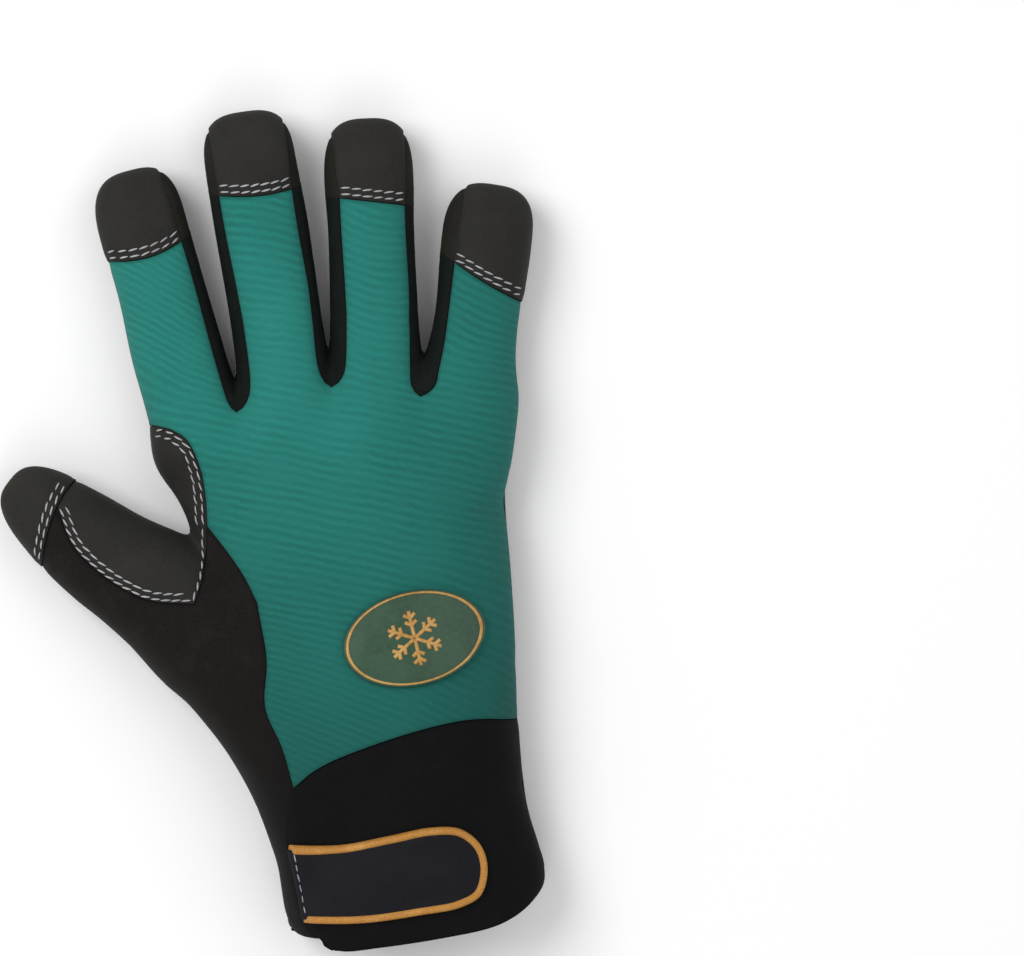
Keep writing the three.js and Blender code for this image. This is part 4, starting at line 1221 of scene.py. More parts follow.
def make_mesh(
    name: str,
    points: Array,
    faces: Array,
    materials: list[Material],
    slots: Array | None = None,
    values: dict[str, Array] | None = None,
) -> Object:
    """Makes a smooth object from triangles.

    Args:
        name: Its name.
        points: Points in millimetres in the hand's frame.
        faces: Triangles.
        materials: Its materials.
        slots: The material of each triangle.
        values: Numbers known at each point, kept as attributes.

    Returns:
        The object, at the origin.
    """
    placed = (points + SHIFT) * MM
    placed[:, 2] = np.maximum(placed[:, 2], FLOOR_GAP)
    mesh = bpy.data.meshes.new(name)
    mesh.vertices.add(len(placed))
    mesh.vertices.foreach_set("co", placed.astype(np.float32).ravel())
    mesh.loops.add(faces.size)
    mesh.loops.foreach_set("vertex_index", faces.astype(np.int32).ravel())
    mesh.polygons.add(len(faces))
    mesh.polygons.foreach_set("loop_start", np.arange(0, faces.size, 3, dtype=np.int32))
    for material in materials:
        mesh.materials.append(material)
    if slots is not None:
        mesh.polygons.foreach_set("material_index", slots.astype(np.int32))
    for key, numbers in (values or {}).items():
        attribute = mesh.attributes.new(key, "FLOAT", "POINT")
        attribute.data.foreach_set("value", numbers.astype(np.float32))
    mesh.update(calc_edges=True)
    mesh.validate()
    mesh.shade_smooth()
    obj = bpy.data.objects.new(name, mesh)
    bpy.context.scene.collection.objects.link(obj)
    return obj


def fit(obj: Object, slot: str, node: str = "") -> None:
    """Puts a piece on the glove: it rides on the root.

    Args:
        obj: The piece.
        slot: Not used.
        node: The CAD node that it replaces, if any.
    """
    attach(obj, "root")
    if node:
        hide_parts(node)
    LOG.info("%s: %d triangles", obj.name, len(obj.data.polygons))


@dataclass(frozen=True)
class Thread:
    """The light thread of the double stitch rows.

    Attributes:
        length: A stitch's length.
        pitch: From one stitch to the next.
        radius: The thread's half thickness.
        arch: How high a stitch arches over the leather.
        slant: How far stitches slant against their row, in degrees.
    """

    length: float = 3.15
    pitch: float = 3.1
    radius: float = 0.27
    arch: float = 0.24
    slant: float = 9.0

    def template(self) -> Block:
        """Makes one stitch along X: a tube whose radius is r sqrt(sin(pi t)) on an arched line.

        Returns:
            Points and triangles.
        """
        t = np.array([0, *np.linspace(0.06, 0.94, 5), 1])[:, None]
        turn = np.arange(7) * math.pi / 3 % (2 * math.pi)
        swell = np.sqrt(np.maximum(np.sin(math.pi * t), 0))
        x = (t - 0.5) * self.length + 0 * turn
        y = self.radius * 1.15 * swell * np.cos(turn)
        z = self.radius * 0.9 * swell * np.sin(turn) + self.arch * np.sin(math.pi * t)
        points = np.stack([x, y, z], -1).reshape(-1, 3)
        first, faces, _ = weld(points, grid_triangles(7, 7))
        return points[first], faces

    def row(self, form: HandForm, plan: Array, height: float, side: Side, seed: int) -> Block:
        """Sews one row: a copy of the stitch at every pitch, turned to the row and the surface.

        Args:
            form: The hand.
            plan: The row's line in plan.
            height: How far the leather stands off the form there.
            side: The side of the glove.
            seed: Starts the small differences between stitches.

        Returns:
            Points and triangles of all its stitches.
        """
        length = np.hypot(*np.diff(plan, axis=0).T).sum()
        count = max(int(length / self.pitch), 1)
        generator = np.random.default_rng(seed)
        spots = (np.arange(count) + 0.5) / count
        half = self.length / 2 / length
        at = np.concatenate([spots, np.clip(spots - half, 0, 1), np.clip(spots + half, 0, 1)])
        lifted = form.lift(read_line(plan, at), side)
        centre, before, after = lifted[:count], lifted[count : 2 * count], lifted[2 * count :]
        normal = form.normal(centre)
        along = unit(after - before)
        along = unit(along - normal * (along * normal).sum(axis=1, keepdims=True))
        slant = np.radians(self.slant + generator.normal(0, 3.0, count))[:, None]
        sideways = np.cross(normal, along)
        along, sideways = (
            along * np.cos(slant) + sideways * np.sin(slant),
            sideways * np.cos(slant) - along * np.sin(slant),
        )
        points, faces = self.template()
        scale = 1 + generator.normal(0, 0.05, (count, 1, 1))
        rise = height + form.relief(centre) - STITCH_SINK + generator.normal(0, 0.02, count)
        base = centre + normal * rise[:, None]
        x, y, z = (points[:, k][None, :, None] for k in range(3))
        placed = base[:, None] + scale * x * along[:, None] + y * sideways[:, None] + z * normal[:, None]
        offsets = np.arange(count)[:, None, None] * len(points)
        return placed.reshape(-1, 3), (faces[None] + offsets).reshape(-1, 3)


def beside(plan: Array, offset: float) -> Array:
    """Moves a line in plan to its right.

    Args:
        plan: The line.
        offset: How far.

    Returns:
        The moved line.
    """
    run = np.gradient(plan, axis=0)
    run /= np.maximum(np.hypot(*run.T), 1e-9)[:, None]
    return plan + np.column_stack([run[:, 1], -run[:, 0]]) * offset


def trimmed(plan: Array, start: float, end: float, count: int) -> Array:
    """A line without a length at its start and at its end, in so many steps."""
    length = np.hypot(*np.diff(plan, axis=0).T).sum()
    return read_line(plan, np.linspace(start / length, 1 - end / length, count + 1))


@dataclass
class Tailor:
    """Makes the glove's pieces of cloth from its pattern.

    Attributes:
        form: The hand.
        pattern: The glove's seams.
        finishes: The finishes by name.
    """

    form: HandForm
    pattern: Pattern
    finishes: dict[str, Material]

    def sew(
        self, name: str, rows: list[tuple[Array, float]], side: Side, slot: str, thread: Thread = Thread()
    ) -> None:
        """Sews rows of stitches as one piece.

        Args:
            name: The piece's name.
            rows: Lines in plan, each with the leather's height there.
            side: The side of the glove.
            slot: The record's slot.
            thread: The thread.
        """
        start = SEED * len(name)
        blocks = [thread.row(self.form, *row, side, start + k) for k, row in enumerate(rows)]
        fit(make_mesh(name, *gather(blocks), [self.finishes["thread"]]), slot)

    def wall(
        self, name: str, grids: list[Array], wall: float, finishes: str, slot: str,
        proud: float = 0.0, roll: float = 0.3, channels: list[Channel] | None = None,
        zones: list[Array | None] | None = None, flush: list[Array] | None = None, ribs: bool = False,
    ) -> None:
        """Makes a piece that is a lined wall of cloth on the form.

        Args:
            name: The CAD node that it replaces, and its name.
            grids: Its patches.
            wall: Its thickness.
            finishes: The finish outside, and that of another zone.
            slot: The record's slot.
            proud: How far it stands off the form.
            roll: The radius of its edge.
            channels: Its grooves.
            zones: The material slot of each column of faces, for each patch.
            flush: Seams that stay closed and level.
            ribs: Whether it is the ribbed knit.
        """
        skin = Skin(self.form, grids, zones)
        skin.draw_in(SEAM_GAP / 2 + roll, flush or [])
        points, faces, slots, values = skin.solid(wall, proud, roll, channels or [])
        if ribs:
            values["rib"] = rib_phase(points)
        outside, *zone = finishes.split()
        materials = [self.finishes[finish] for finish in (outside, "lining", *zone)]
        fit(make_mesh(f"{name}_cloth", points, faces, materials, slots, values), slot, name)

    def overlay(
        self, name: str, plan: Array, side: Side, height: Array, finish: str, slot: str,
        base: float = OVER, node: str = "",
    ) -> Object:
        """Makes a closed piece that lies on the cloth.

        Its top is the form plus base plus height, its bottom the form plus base, and the two meet
        in a short wall along the grid's open edges. Columns that meet are merged.

        Args:
            name: Its name.
            plan: A grid of plan points.
            side: The side of the glove.
            height: Its thickness at each point of the grid.
            finish: Its finish.
            slot: The record's slot.
            base: How far its bottom stands off the form.
            node: The CAD node that it replaces, if any.

        Returns:
            The piece.
        """
        points = self.form.lift(plan, side).reshape(-1, 3)
        first, faces, _ = weld(points, grid_triangles(*plan.shape[:2]))
        points, height = points[first], height.ravel()[first]
        normal = self.form.normal(points)
        if (face_normals(points, faces) * normal[faces[:, 0]]).sum() < 0:
            faces = faces[:, ::-1]
        level = self.form.relief(points) + base
        top, bottom = (points + normal * (level + rise)[:, None] for rise in (height, 0 * height))
        near, _ = line_distance(points, points[open_edges(faces, len(points))[0]])
        values = {"edge": np.concatenate([near, near])}
        whole, faces = plate(top, bottom, faces)
        piece = make_mesh(name, whole, faces, [self.finishes[finish]], None, values)
        fit(piece, slot, node)
        return piece


def rounded(near: Array, radius: float) -> Array:
    """A rounded edge: sqrt(1 - (1 - d / r)^2) up to the radius r, and 1 beyond it."""
    return np.sqrt(np.maximum(1 - np.clip(1 - near / radius, 0, 1) ** 2, 0))


# Finishes

NEAR_BLACK = 0.04045


class Graph:
    """A shader node tree with short calls for the nodes that the finishes use."""

    def __init__(self, tree: Tree) -> None:
        """Keeps the tree, with room for the position that its textures read."""
        self.tree = tree
        self.position: Socket | None = None

    def feed(self, node: Node, links: dict[str | int, object]) -> Node:
        """Feeds a node's inputs.

        Args:
            node: The node.
            links: Sockets or values for its inputs, by name or number.

        Returns:
            The node.
        """
        for key, value in links.items():
            if isinstance(value, Socket):
                self.tree.links.new(value, node.inputs[key])
            else:
                node.inputs[key].default_value = value
        return node

    def node(self, kind: str, links: dict[str | int, object] | None = None, **settings: object) -> Node:
        """Adds a node.

        Args:
            kind: Its Blender type.
            links: Sockets or values for its inputs, by name or number.
            settings: Its own settings.

        Returns:
            The node.
        """
        node = self.tree.nodes.new(kind)
        for key, value in settings.items():
            setattr(node, key, value)
        return self.feed(node, links or {})

    def math(self, operation: str, a: object, b: object = 0.0, c: object = 0.0) -> Socket:
        """The result of a Math node."""
        return self.node("ShaderNodeMath", {0: a, 1: b, 2: c}, operation=operation).outputs[0]

    def noise(self, scale: float, detail: float = 3.0, roughness: float = 0.5) -> Socket:
        """The value of a Noise Texture."""
        links = {"Vector": self.position, "Scale": scale, "Detail": detail, "Roughness": roughness}
        return self.node("ShaderNodeTexNoise", links).outputs[0]

    def remap(
        self, value: Socket, low: float, high: float, to_low: float = 0.0, to_high: float = 1.0
    ) -> Socket:
        """A value moved from one range to another and held inside it."""
        links = {"Value": value, 1: low, 2: high, 3: to_low, 4: to_high}
        return self.node("ShaderNodeMapRange", links).outputs[0]

    def blend(self, share: Socket, first: Socket | Paint, second: Socket | Paint) -> Socket:
        """The colour between two colours at a share."""
        first, second = (colour(part) if isinstance(part, tuple) else part for part in (first, second))
        return self.node("ShaderNodeMix", {0: share, 6: first, 7: second}, data_type="RGBA").outputs[2]

    def attribute(self, name: str) -> Socket:
        """The number that the mesh keeps at each point under a name."""
        return self.node("ShaderNodeAttribute", attribute_name=name).outputs["Fac"]

    def part(self, number: int) -> Socket:
        """The X, Y or Z of the position, by number."""
        return self.node("ShaderNodeSeparateXYZ", {0: self.position}).outputs[number]

    def group(self, tree: Tree, **links: object) -> Sockets:
        """The outputs of a node group that is fed with the position and with sockets or values."""
        return self.node("ShaderNodeGroup", {"Position": self.position, **links}, node_tree=tree).outputs


def colour(part: Paint) -> tuple[float, float, float, float]:
    """Turns sRGB into the light that the shader takes: ((c + 0.055) / 1.055)^2.4 above near black.

    Args:
        part: Red, green and blue from 0 to 255.

    Returns:
        The colour, opaque.
    """
    c = np.array(part) / 255
    linear = np.where(c <= NEAR_BLACK, c / 12.92, ((c + 0.055) / 1.055) ** 2.4)
    return (*[float(v) for v in linear], 1.0)


class Effects:
    """The shader node groups that more than one finish uses."""

    def __init__(self) -> None:
        """Builds every group once."""
        self.ribs = self.make_ribs()
        self.grain = self.make_grain()
        self.weave = self.make_weave()
        self.seam = self.make_seam()

    def start(self, name: str, values: dict[str, float]) -> tuple[Graph, Sockets]:
        """Starts a group that reads a Position and named values.

        Args:
            name: The group's name.
            values: Its other inputs and their values.

        Returns:
            The graph inside it, and what its inputs give.
        """
        tree = bpy.data.node_groups.new(name, "ShaderNodeTree")
        tree.interface.new_socket("Position", in_out="INPUT", socket_type="NodeSocketVector")
        for key, value in values.items():
            socket = tree.interface.new_socket(key, in_out="INPUT", socket_type="NodeSocketFloat")
            socket.default_value = value
        graph = Graph(tree)
        given = graph.node("NodeGroupInput").outputs
        graph.position = given["Position"]
        return graph, given

    def end(self, graph: Graph, **results: Socket) -> Tree:
        """Ends a group, with an output for each named result.

        Args:
            graph: The graph inside it.
            results: Its results, all plain values.

        Returns:
            The group.
        """
        for key in results:
            graph.tree.interface.new_socket(key, in_out="OUTPUT", socket_type="NodeSocketFloat")
        graph.node("NodeGroupOutput", results)
        return graph.tree

    def make_ribs(self) -> Tree:
        """The knit's ribs: 0.5 + 0.5 sin(2 pi d / pitch), with the distance d pushed by two noises.

        Returns:
            The group, with a Height and a Stretch that varies slowly.
        """
        graph, given = self.start("cloth_ribs", {"Distance": 0.0, "Pitch": 2.7, "Wander": 1.0})
        wide = graph.math("SUBTRACT", graph.noise(55.0, 2.0), 0.5)
        fine = graph.math("SUBTRACT", graph.noise(420.0, 2.0), 0.5)
        push = graph.math("ADD", graph.math("MULTIPLY", wide, 2.6), graph.math("MULTIPLY", fine, 1.3))
        pushed = graph.math("MULTIPLY_ADD", push, given["Wander"], given["Distance"])
        turn = graph.math("MULTIPLY", graph.math("DIVIDE", pushed, given["Pitch"]), 2 * math.pi)
        uneven = graph.remap(graph.noise(150.0, 2.0), 0.35, 0.65, 0.15, 0.5)
        wave = graph.math("MULTIPLY_ADD", graph.math("SINE", turn), uneven, 0.5)
        height = graph.math("MULTIPLY_ADD", graph.noise(1500.0, 1.0), 0.35, wave)
        return self.end(graph, Height=height, Stretch=graph.noise(22.0))

    def make_grain(self) -> Tree:
        """Leather grain: small rounded cells with creases between them, and slow scuffing.

        Returns:
            The group, with a Height and a Scuff.
        """
        graph, given = self.start("leather_grain", {"Scale": 1600.0})
        links = {"Vector": graph.position, "Scale": given["Scale"]}
        cells = graph.node("ShaderNodeTexVoronoi", links, feature="DISTANCE_TO_EDGE").outputs[0]
        fine = graph.noise(2600.0, 2.0)
        height = graph.math("MULTIPLY_ADD", fine, 0.5, graph.remap(cells, 0.0, 0.16))
        scuff = graph.remap(graph.noise(75.0, 5.0, 0.65), 0.42, 0.68)
        return self.end(graph, Height=height, Scuff=scuff)

    def make_weave(self) -> Tree:
        """A fine weave: the product of two slanting sines, with lint over it.

        Returns:
            The group, with a Height and a Lint.
        """
        graph, given = self.start("fine_weave", {"Pitch": 0.9})
        x, y = graph.part(0), graph.part(1)
        rate = graph.math("DIVIDE", 2 * math.pi / MM, given["Pitch"])
        first, second = (
            graph.math("SINE", graph.math("MULTIPLY", graph.math(way, x, y), rate))
            for way in ("ADD", "SUBTRACT")
        )
        fuzz = graph.noise(1900.0)
        height = graph.math("MULTIPLY_ADD", graph.math("MULTIPLY", first, second), 0.3, fuzz)
        lint = graph.remap(graph.noise(120.0, 6.0, 0.7), 0.5, 0.75)
        return self.end(graph, Height=height, Lint=lint)

    def make_seam(self) -> Tree:
        """What happens beside a seam: painted shade in the fold close to it and light wear a little further
        in.

        Returns:
            The group, with a Fold mask for the painted shade and a Wear mask.
        """
        graph, given = self.start("seam_wear_and_shade", {"Edge": 10.0, "Reach": 1.0})
        edge = graph.math("DIVIDE", given["Edge"], given["Reach"])
        band = graph.math("MULTIPLY", graph.remap(edge, 0.5, 1.2), graph.remap(edge, 1.2, 4.0, 1.0, 0.0))
        rough = graph.remap(graph.noise(260.0, 4.0), 0.45, 0.7)
        # Painted shade: a mask that is full at the seam and gone 1.1 reaches in.
        fold = graph.remap(edge, 0.0, 1.1, 1.0, 0.0)
        return self.end(graph, Fold=fold, Wear=graph.math("MULTIPLY", band, rough))


@dataclass(frozen=True)
class Finish:
    """A finish: its colours and how it takes light.

    Attributes:
        name: Its name.
        base: Its main colour.
        shade: Its darker colour, in folds and between ribs or grains.
        light: Its lighter colour, where it is scuffed or dusty.
        roughness: Its middle roughness.
        sheen: How much soft sheen its fibres give.
        bump: How deep its surface is, in metres.
        coat: How much clear shine lies on it.
        shine: Its specular level.
    """

    name: str
    base: Paint
    shade: Paint
    light: Paint
    roughness: float = 0.8
    sheen: float = 0.0
    bump: float = 0.0001
    coat: float = 0.0
    shine: float = 0.08

    def surface(self, graph: Graph, effects: Effects) -> Surface:
        """Makes the finish's own pattern.

        Args:
            graph: The material's graph.
            effects: The shared groups.

        Returns:
            Its colour, its height for the bump, and its roughness.
        """
        raise NotImplementedError

    def material(self, effects: Effects) -> Material:
        """Makes the material: the shader with this finish's pattern.

        Args:
            effects: The shared groups.

        Returns:
            The material.
        """
        material = bpy.data.materials.new(self.name)
        material.use_nodes = True
        graph = Graph(material.node_tree)
        graph.position = graph.node("ShaderNodeTexCoord").outputs["Object"]
        paint, height, roughness = self.surface(graph, effects)
        bump = graph.node("ShaderNodeBump", {"Height": height, "Distance": self.bump, "Strength": 1.0})
        graph.feed(material.node_tree.nodes["Principled BSDF"], {
            "Base Color": paint, "Roughness": roughness, "Normal": bump.outputs[0],
            "Sheen Weight": self.sheen, "Sheen Roughness": 0.6, "Specular IOR Level": self.shine,
            "Coat Weight": self.coat, "Coat Roughness": 0.25,
        })
        return material


@dataclass(frozen=True)
class RibbedKnit(Finish):
    """Stretch knit with fine wavy ribs, with painted shade towards the cuff and the little finger.

    Attributes:
        deep: The colour of that painted shade, also used for painted shade beside the seams.
        pitch: From one rib to the next, in millimetres.
    """

    deep: Paint = (20, 62, 58)
    pitch: float = 2.7

    def surface(self, graph: Graph, effects: Effects) -> Surface:
        """The ribs' painted light and shade: painted shade in their hollows, under slow changes of colour
        over the hand.

        Args:
            graph: The material's graph.
            effects: The shared groups.

        Returns:
            Its colour, its height and its roughness.
        """
        along = graph.attribute("rib")
        ribs = graph.group(effects.ribs, Distance=along, Pitch=self.pitch)
        seam = graph.group(effects.seam, Edge=graph.attribute("edge"))
        tone = graph.remap(ribs["Height"], 0.0, 1.3)
        # Painted shade: the ribs' hollows take the darker colour, their crests the base colour.
        paint = graph.blend(tone, self.shade, self.base)
        paint = graph.blend(graph.remap(ribs["Stretch"], 0.35, 0.7, 0.0, 0.45), paint, self.light)
        # Painted shade: darker towards the little finger side and towards the cuff, where the back turns
        # away from the light.
        right = graph.remap(graph.part(0), 0.02, 0.075, 0.0, 0.3)
        low = graph.remap(graph.part(1), 0.04, -0.075, 0.0, 0.6)
        paint = graph.blend(graph.math("ADD", right, low), paint, self.deep)
        # Painted shade in the fold beside each seam and edge.
        paint = graph.blend(graph.math("MULTIPLY", seam["Fold"], 0.35), paint, self.deep)
        rough = graph.remap(tone, 0.0, 1.0, self.roughness + 0.08, self.roughness - 0.05)
        return paint, ribs["Height"], rough


@dataclass(frozen=True)
class Leather(Finish):
    """Soft synthetic leather with a fine grain.

    Attributes:
        scale: How fine its grain is.
    """

    scale: float = 1600.0

    def surface(self, graph: Graph, effects: Effects) -> Surface:
        """The grain, scuffed here and there, worn beside the seams and with painted shade right at them.

        Args:
            graph: The material's graph.
            effects: The shared groups.

        Returns:
            Its colour, its height and its roughness.
        """
        grain = graph.group(effects.grain, Scale=self.scale)
        seam = graph.group(effects.seam, Edge=graph.attribute("edge"))
        paint = graph.blend(graph.remap(grain["Height"], 0.2, 1.2), self.shade, self.base)
        scuffed = graph.math("MULTIPLY", grain["Scuff"], 0.45)
        worn = graph.math("MAXIMUM", scuffed, graph.math("MULTIPLY", seam["Wear"], 0.5))
        paint = graph.blend(worn, paint, self.light)
        # Painted shade in the fold beside each seam and edge.
        paint = graph.blend(graph.math("MULTIPLY", seam["Fold"], 0.55), paint, self.shade)
        rough = graph.remap(grain["Scuff"], 0.0, 1.0, self.roughness - 0.06, self.roughness + 0.08)
        return paint, grain["Height"], rough


@dataclass(frozen=True)
class SoftFabric(Finish):
    """Soft fabric with a fine weave and a little lint.

    Attributes:
        pitch: From one thread of the weave to the next, in millimetres.
        fade: How dark it gets towards the hem.
    """

    pitch: float = 0.9
    fade: float = 0.0

    def surface(self, graph: Graph, effects: Effects) -> Surface:
        """The weave with its lint, with painted shade in the seams, and darker towards the hem.

        Args:
            graph: The material's graph.
            effects: The shared groups.

        Returns:
            Its colour, its height and its roughness.
        """
        weave = graph.group(effects.weave, Pitch=self.pitch)
        seam = graph.group(effects.seam, Edge=graph.attribute("edge"))
        paint = graph.blend(graph.remap(weave["Height"], 0.2, 0.9), self.shade, self.base)
        paint = graph.blend(graph.math("MULTIPLY", weave["Lint"], 0.5), paint, self.light)
        low = graph.remap(graph.part(1), -0.03, -0.1, 0.0, self.fade)
        # Painted shade in the fold beside each seam, joined with the darker colour towards the hem.
        fold = graph.math("MAXIMUM", graph.math("MULTIPLY", seam["Fold"], 0.5), low)
        paint = graph.blend(fold, paint, self.shade)
        rough = graph.remap(weave["Lint"], 0.0, 1.0, self.roughness - 0.04, self.roughness + 0.06)
        return paint, weave["Height"], rough


@dataclass(frozen=True)
class Smooth(Finish):
    """Moulded rubber or twisted thread, with slight unevenness.

    Attributes:
        scale: How fine the unevenness is.
    """

    scale: float = 700.0

    def surface(self, graph: Graph, effects: Effects) -> Surface:
        """Fine unevenness under a slow change of colour and shine.

        Args:
            graph: The material's graph.
            effects: The shared groups.

        Returns:
            Its colour, its height and its roughness.
        """
        uneven, slow = graph.noise(self.scale), graph.noise(90.0)
        paint = graph.blend(graph.remap(uneven, 0.3, 0.7), self.shade, self.base)
        paint = graph.blend(graph.remap(slow, 0.4, 0.7, 0.0, 0.5), paint, self.light)
        return paint, uneven, graph.remap(slow, 0.3, 0.7, self.roughness - 0.06, self.roughness + 0.06)


FINISHES: dict[str, Finish] = {
    "knit": RibbedKnit(
        "teal_knit", (39, 127, 117), (30, 103, 95), (43, 134, 124), 0.85, sheen=0.04, bump=0.00018),
    "leather": Leather(
        "charcoal_leather", (42, 41, 38), (32, 31, 28), (52, 51, 47), 0.68, bump=0.00003, shine=0.12),
    "pad": Leather(
        "pad_leather", (47, 45, 41), (33, 32, 29), (58, 56, 51), 0.64, bump=0.00004, shine=0.12,
        scale=1200.0),
    "side": SoftFabric(
        "side_fabric", (35, 32, 29), (15, 14, 14), (44, 41, 37), 0.9, sheen=0.03, bump=0.00006, fade=0.95),
    "strip": SoftFabric("strip_fabric", (27, 33, 31), (15, 19, 18), (34, 40, 38), 0.9, bump=0.00006),
    "cap_side": SoftFabric(
        "cap_side_fabric", (41, 40, 36), (30, 29, 26), (49, 48, 43), 0.85, bump=0.00004),
    "cuff": SoftFabric(
        "cuff_fabric", (18, 18, 20), (10, 10, 11), (24, 24, 27), 0.8, bump=0.00004, pitch=0.7),
    "strap": Leather(
        "strap_leather", (22, 22, 28), (15, 15, 19), (31, 32, 38), 0.6, bump=0.00003, shine=0.12),
    "binding": SoftFabric(
        "binding_tape", (208, 148, 74), (158, 108, 46), (226, 176, 104), 0.6, bump=0.0001, shine=0.2,
        pitch=1.1),
    "rubber": Smooth(
        "badge_rubber", (50, 80, 60), (42, 69, 52), (60, 90, 68), 0.4, bump=0.00002, coat=0.12, shine=0.3),
    "gold": Smooth(
        "badge_gold", (200, 154, 84), (166, 120, 58), (218, 180, 112), 0.42, bump=0.00002, coat=0.1,
        shine=0.3),
    "thread": Smooth(
        "light_thread", (182, 180, 184), (128, 126, 132), (206, 204, 206), 0.75, bump=0.00006,
        scale=2600.0),
    "lining": SoftFabric(
        "fleece_lining", (34, 33, 32), (18, 18, 18), (52, 50, 48), 0.95, sheen=0.1, bump=0.0003, pitch=2.2),
}


# The glove's pieces


@dataclass
class Piece:
    """A sub-assembly of the glove.

    Attributes:
        tailor: Makes its meshes.
    """

    tailor: Tailor

    @property
    def form(self) -> HandForm:
        """The hand."""
        return self.tailor.form

    @property
    def pattern(self) -> Pattern:
        """The glove's seams."""
        return self.tailor.pattern

    def build(self) -> None:
        """Builds it."""
        raise NotImplementedError


@dataclass
class Back(Piece):
    """The ribbed knit back of the hand, with the backs of the four fingers.

    Attributes:
        wall: Its thickness.
    """

    wall: float = 1.8

    def build(self) -> None:
        """Builds it."""
        inner = "green_low green_spike green_high saddle_end_top"
        grids = self.pattern.side_grids(Side.BACK, "cuff_top", inner)
        self.tailor.wall("back_panel", grids, self.wall, "knit", "back_knit", ribs=True)


@dataclass
class Palm(Piece):
    """The leather palm with the fronts of the four fingers.

    Attributes:
        wall: Its thickness.
    """

    wall: float = 1.6

    def build(self) -> None:
        """Builds it."""
        inner = "palm_thenar palm_base palm_web saddle_end_palm"
        grids = self.pattern.side_grids(Side.PALM, "cuff_palm", inner)
        self.tailor.wall("palm_panel", grids, self.wall, "leather", "palm_leather")


@dataclass
class SideStrips(Piece):
    """The narrow strips down the sides of the fingers and through each gap.

    Attributes:
        wall: Their thickness.
    """

    wall: float = 1.2

    def build(self) -> None:
        """Builds them."""
        fingers = self.pattern.fingers
        for first, second in zip(fingers[:-1], fingers[1:]):
            west, east = first.sides[1], second.sides[-1]
            top, middle, palm = (
                joined(west[level][::-1], east[level]) for level in ("top", "middle", "palm")
            )
            edges = {side: (first.corner[1, side], second.corner[-1, side]) for side in Side}
            (back_start, back_end), (palm_start, palm_end) = edges.values()
            patch = self.pattern.patch
            grids = [
                patch(top, middle, back_start, back_end[::-1], Side.BACK),
                patch(middle, palm, palm_start[::-1], palm_end, Side.PALM),
            ]
            name = f"side_strip_{first.finger.name}_{second.finger.name}"
            flush = [self.form.lift(edge, side) for side in Side for edge in edges[side]]
            self.tailor.wall(name, grids, self.wall, "strip", "side_fabric", flush=flush)


@dataclass
class Fingertips(Piece):
    """The leather caps of the fingers and the thumb, with double stitch rows along their edges.

    Attributes:
        wall: Their thickness under the form.
        proud: How far they stand off the form.
        rows: How far the stitch rows lie from the cap's edge.
    """

    wall: float = 1.6
    proud: float = 0.4
    rows: Point = (1.3, 3.3)

    def build(self) -> None:
        """Builds them."""
        pattern = self.pattern
        rows = []
        for seams in pattern.fingers:
            finger = seams.finger
            tube = TUBES[finger.name]
            grids = pattern.cap_grids(tube, finger.top, seams.edge[Side.BACK], seams.edge[Side.PALM])
            columns = grids[0].shape[1] - 1
            left = STEPS["across"] * (finger.left is not None)
            right = columns - STEPS["across"] * (finger.right is not None)
            zone = np.full(columns, SIDE_SLOT)
            zone[left:right] = 0
            channels = [
                Channel(grid[:, column], 0.5, 0.22)
                for grid in grids for column in (left, right) if 0 < column < columns
            ]
            spacing = seams.spacing[Side.BACK]
            for offset in self.rows:
                inner = np.linspace(spacing[0] + 0.05, spacing[-1] - 0.05, 40)
                line = tube.place(across_row(finger.top, inner) + offset, inner)
                rows.append((line, self.proud))
                channels.append(Channel(self.form.lift(line), *ROW_GROOVE))
            flush = [self.form.lift(edge, side) for (_, side), edge in seams.corner.items()]
            self.tailor.wall(
                f"cap_{finger.name}", grids, self.wall, "leather cap_side", "palm_leather",
                proud=self.proud, channels=channels, zones=[zone, zone], flush=flush,
            )
        self.build_thumb(rows)
        self.tailor.sew("cap_stitches", rows, Side.BACK, "palm_leather")

    def build_thumb(self, rows: list) -> None:
        """Builds the thumb's cap.

        Args:
            rows: The stitch rows, which the cap's own are added to.
        """
        pattern, tube = self.pattern, TUBES["thumb"]
        top, palm = joined(*pattern.thumb_top), joined(*pattern.thumb_palm)
        grids = pattern.cap_grids(tube, THUMB_CAP_TOP, top, palm)
        channels = []
        for offset in (self.rows[0] - 0.3, self.rows[1] - 0.4):
            share = np.linspace(-0.94, 0.76, 40)
            line = tube.place(across_row(THUMB_CAP_TOP, share) + offset, share)
            rows.append((line, self.proud))
            channels.append(Channel(self.form.lift(line), *ROW_GROOVE))
        self.tailor.wall(
            "cap_thumb", grids, self.wall, "leather", "palm_leather",
            proud=self.proud, channels=channels,
        )


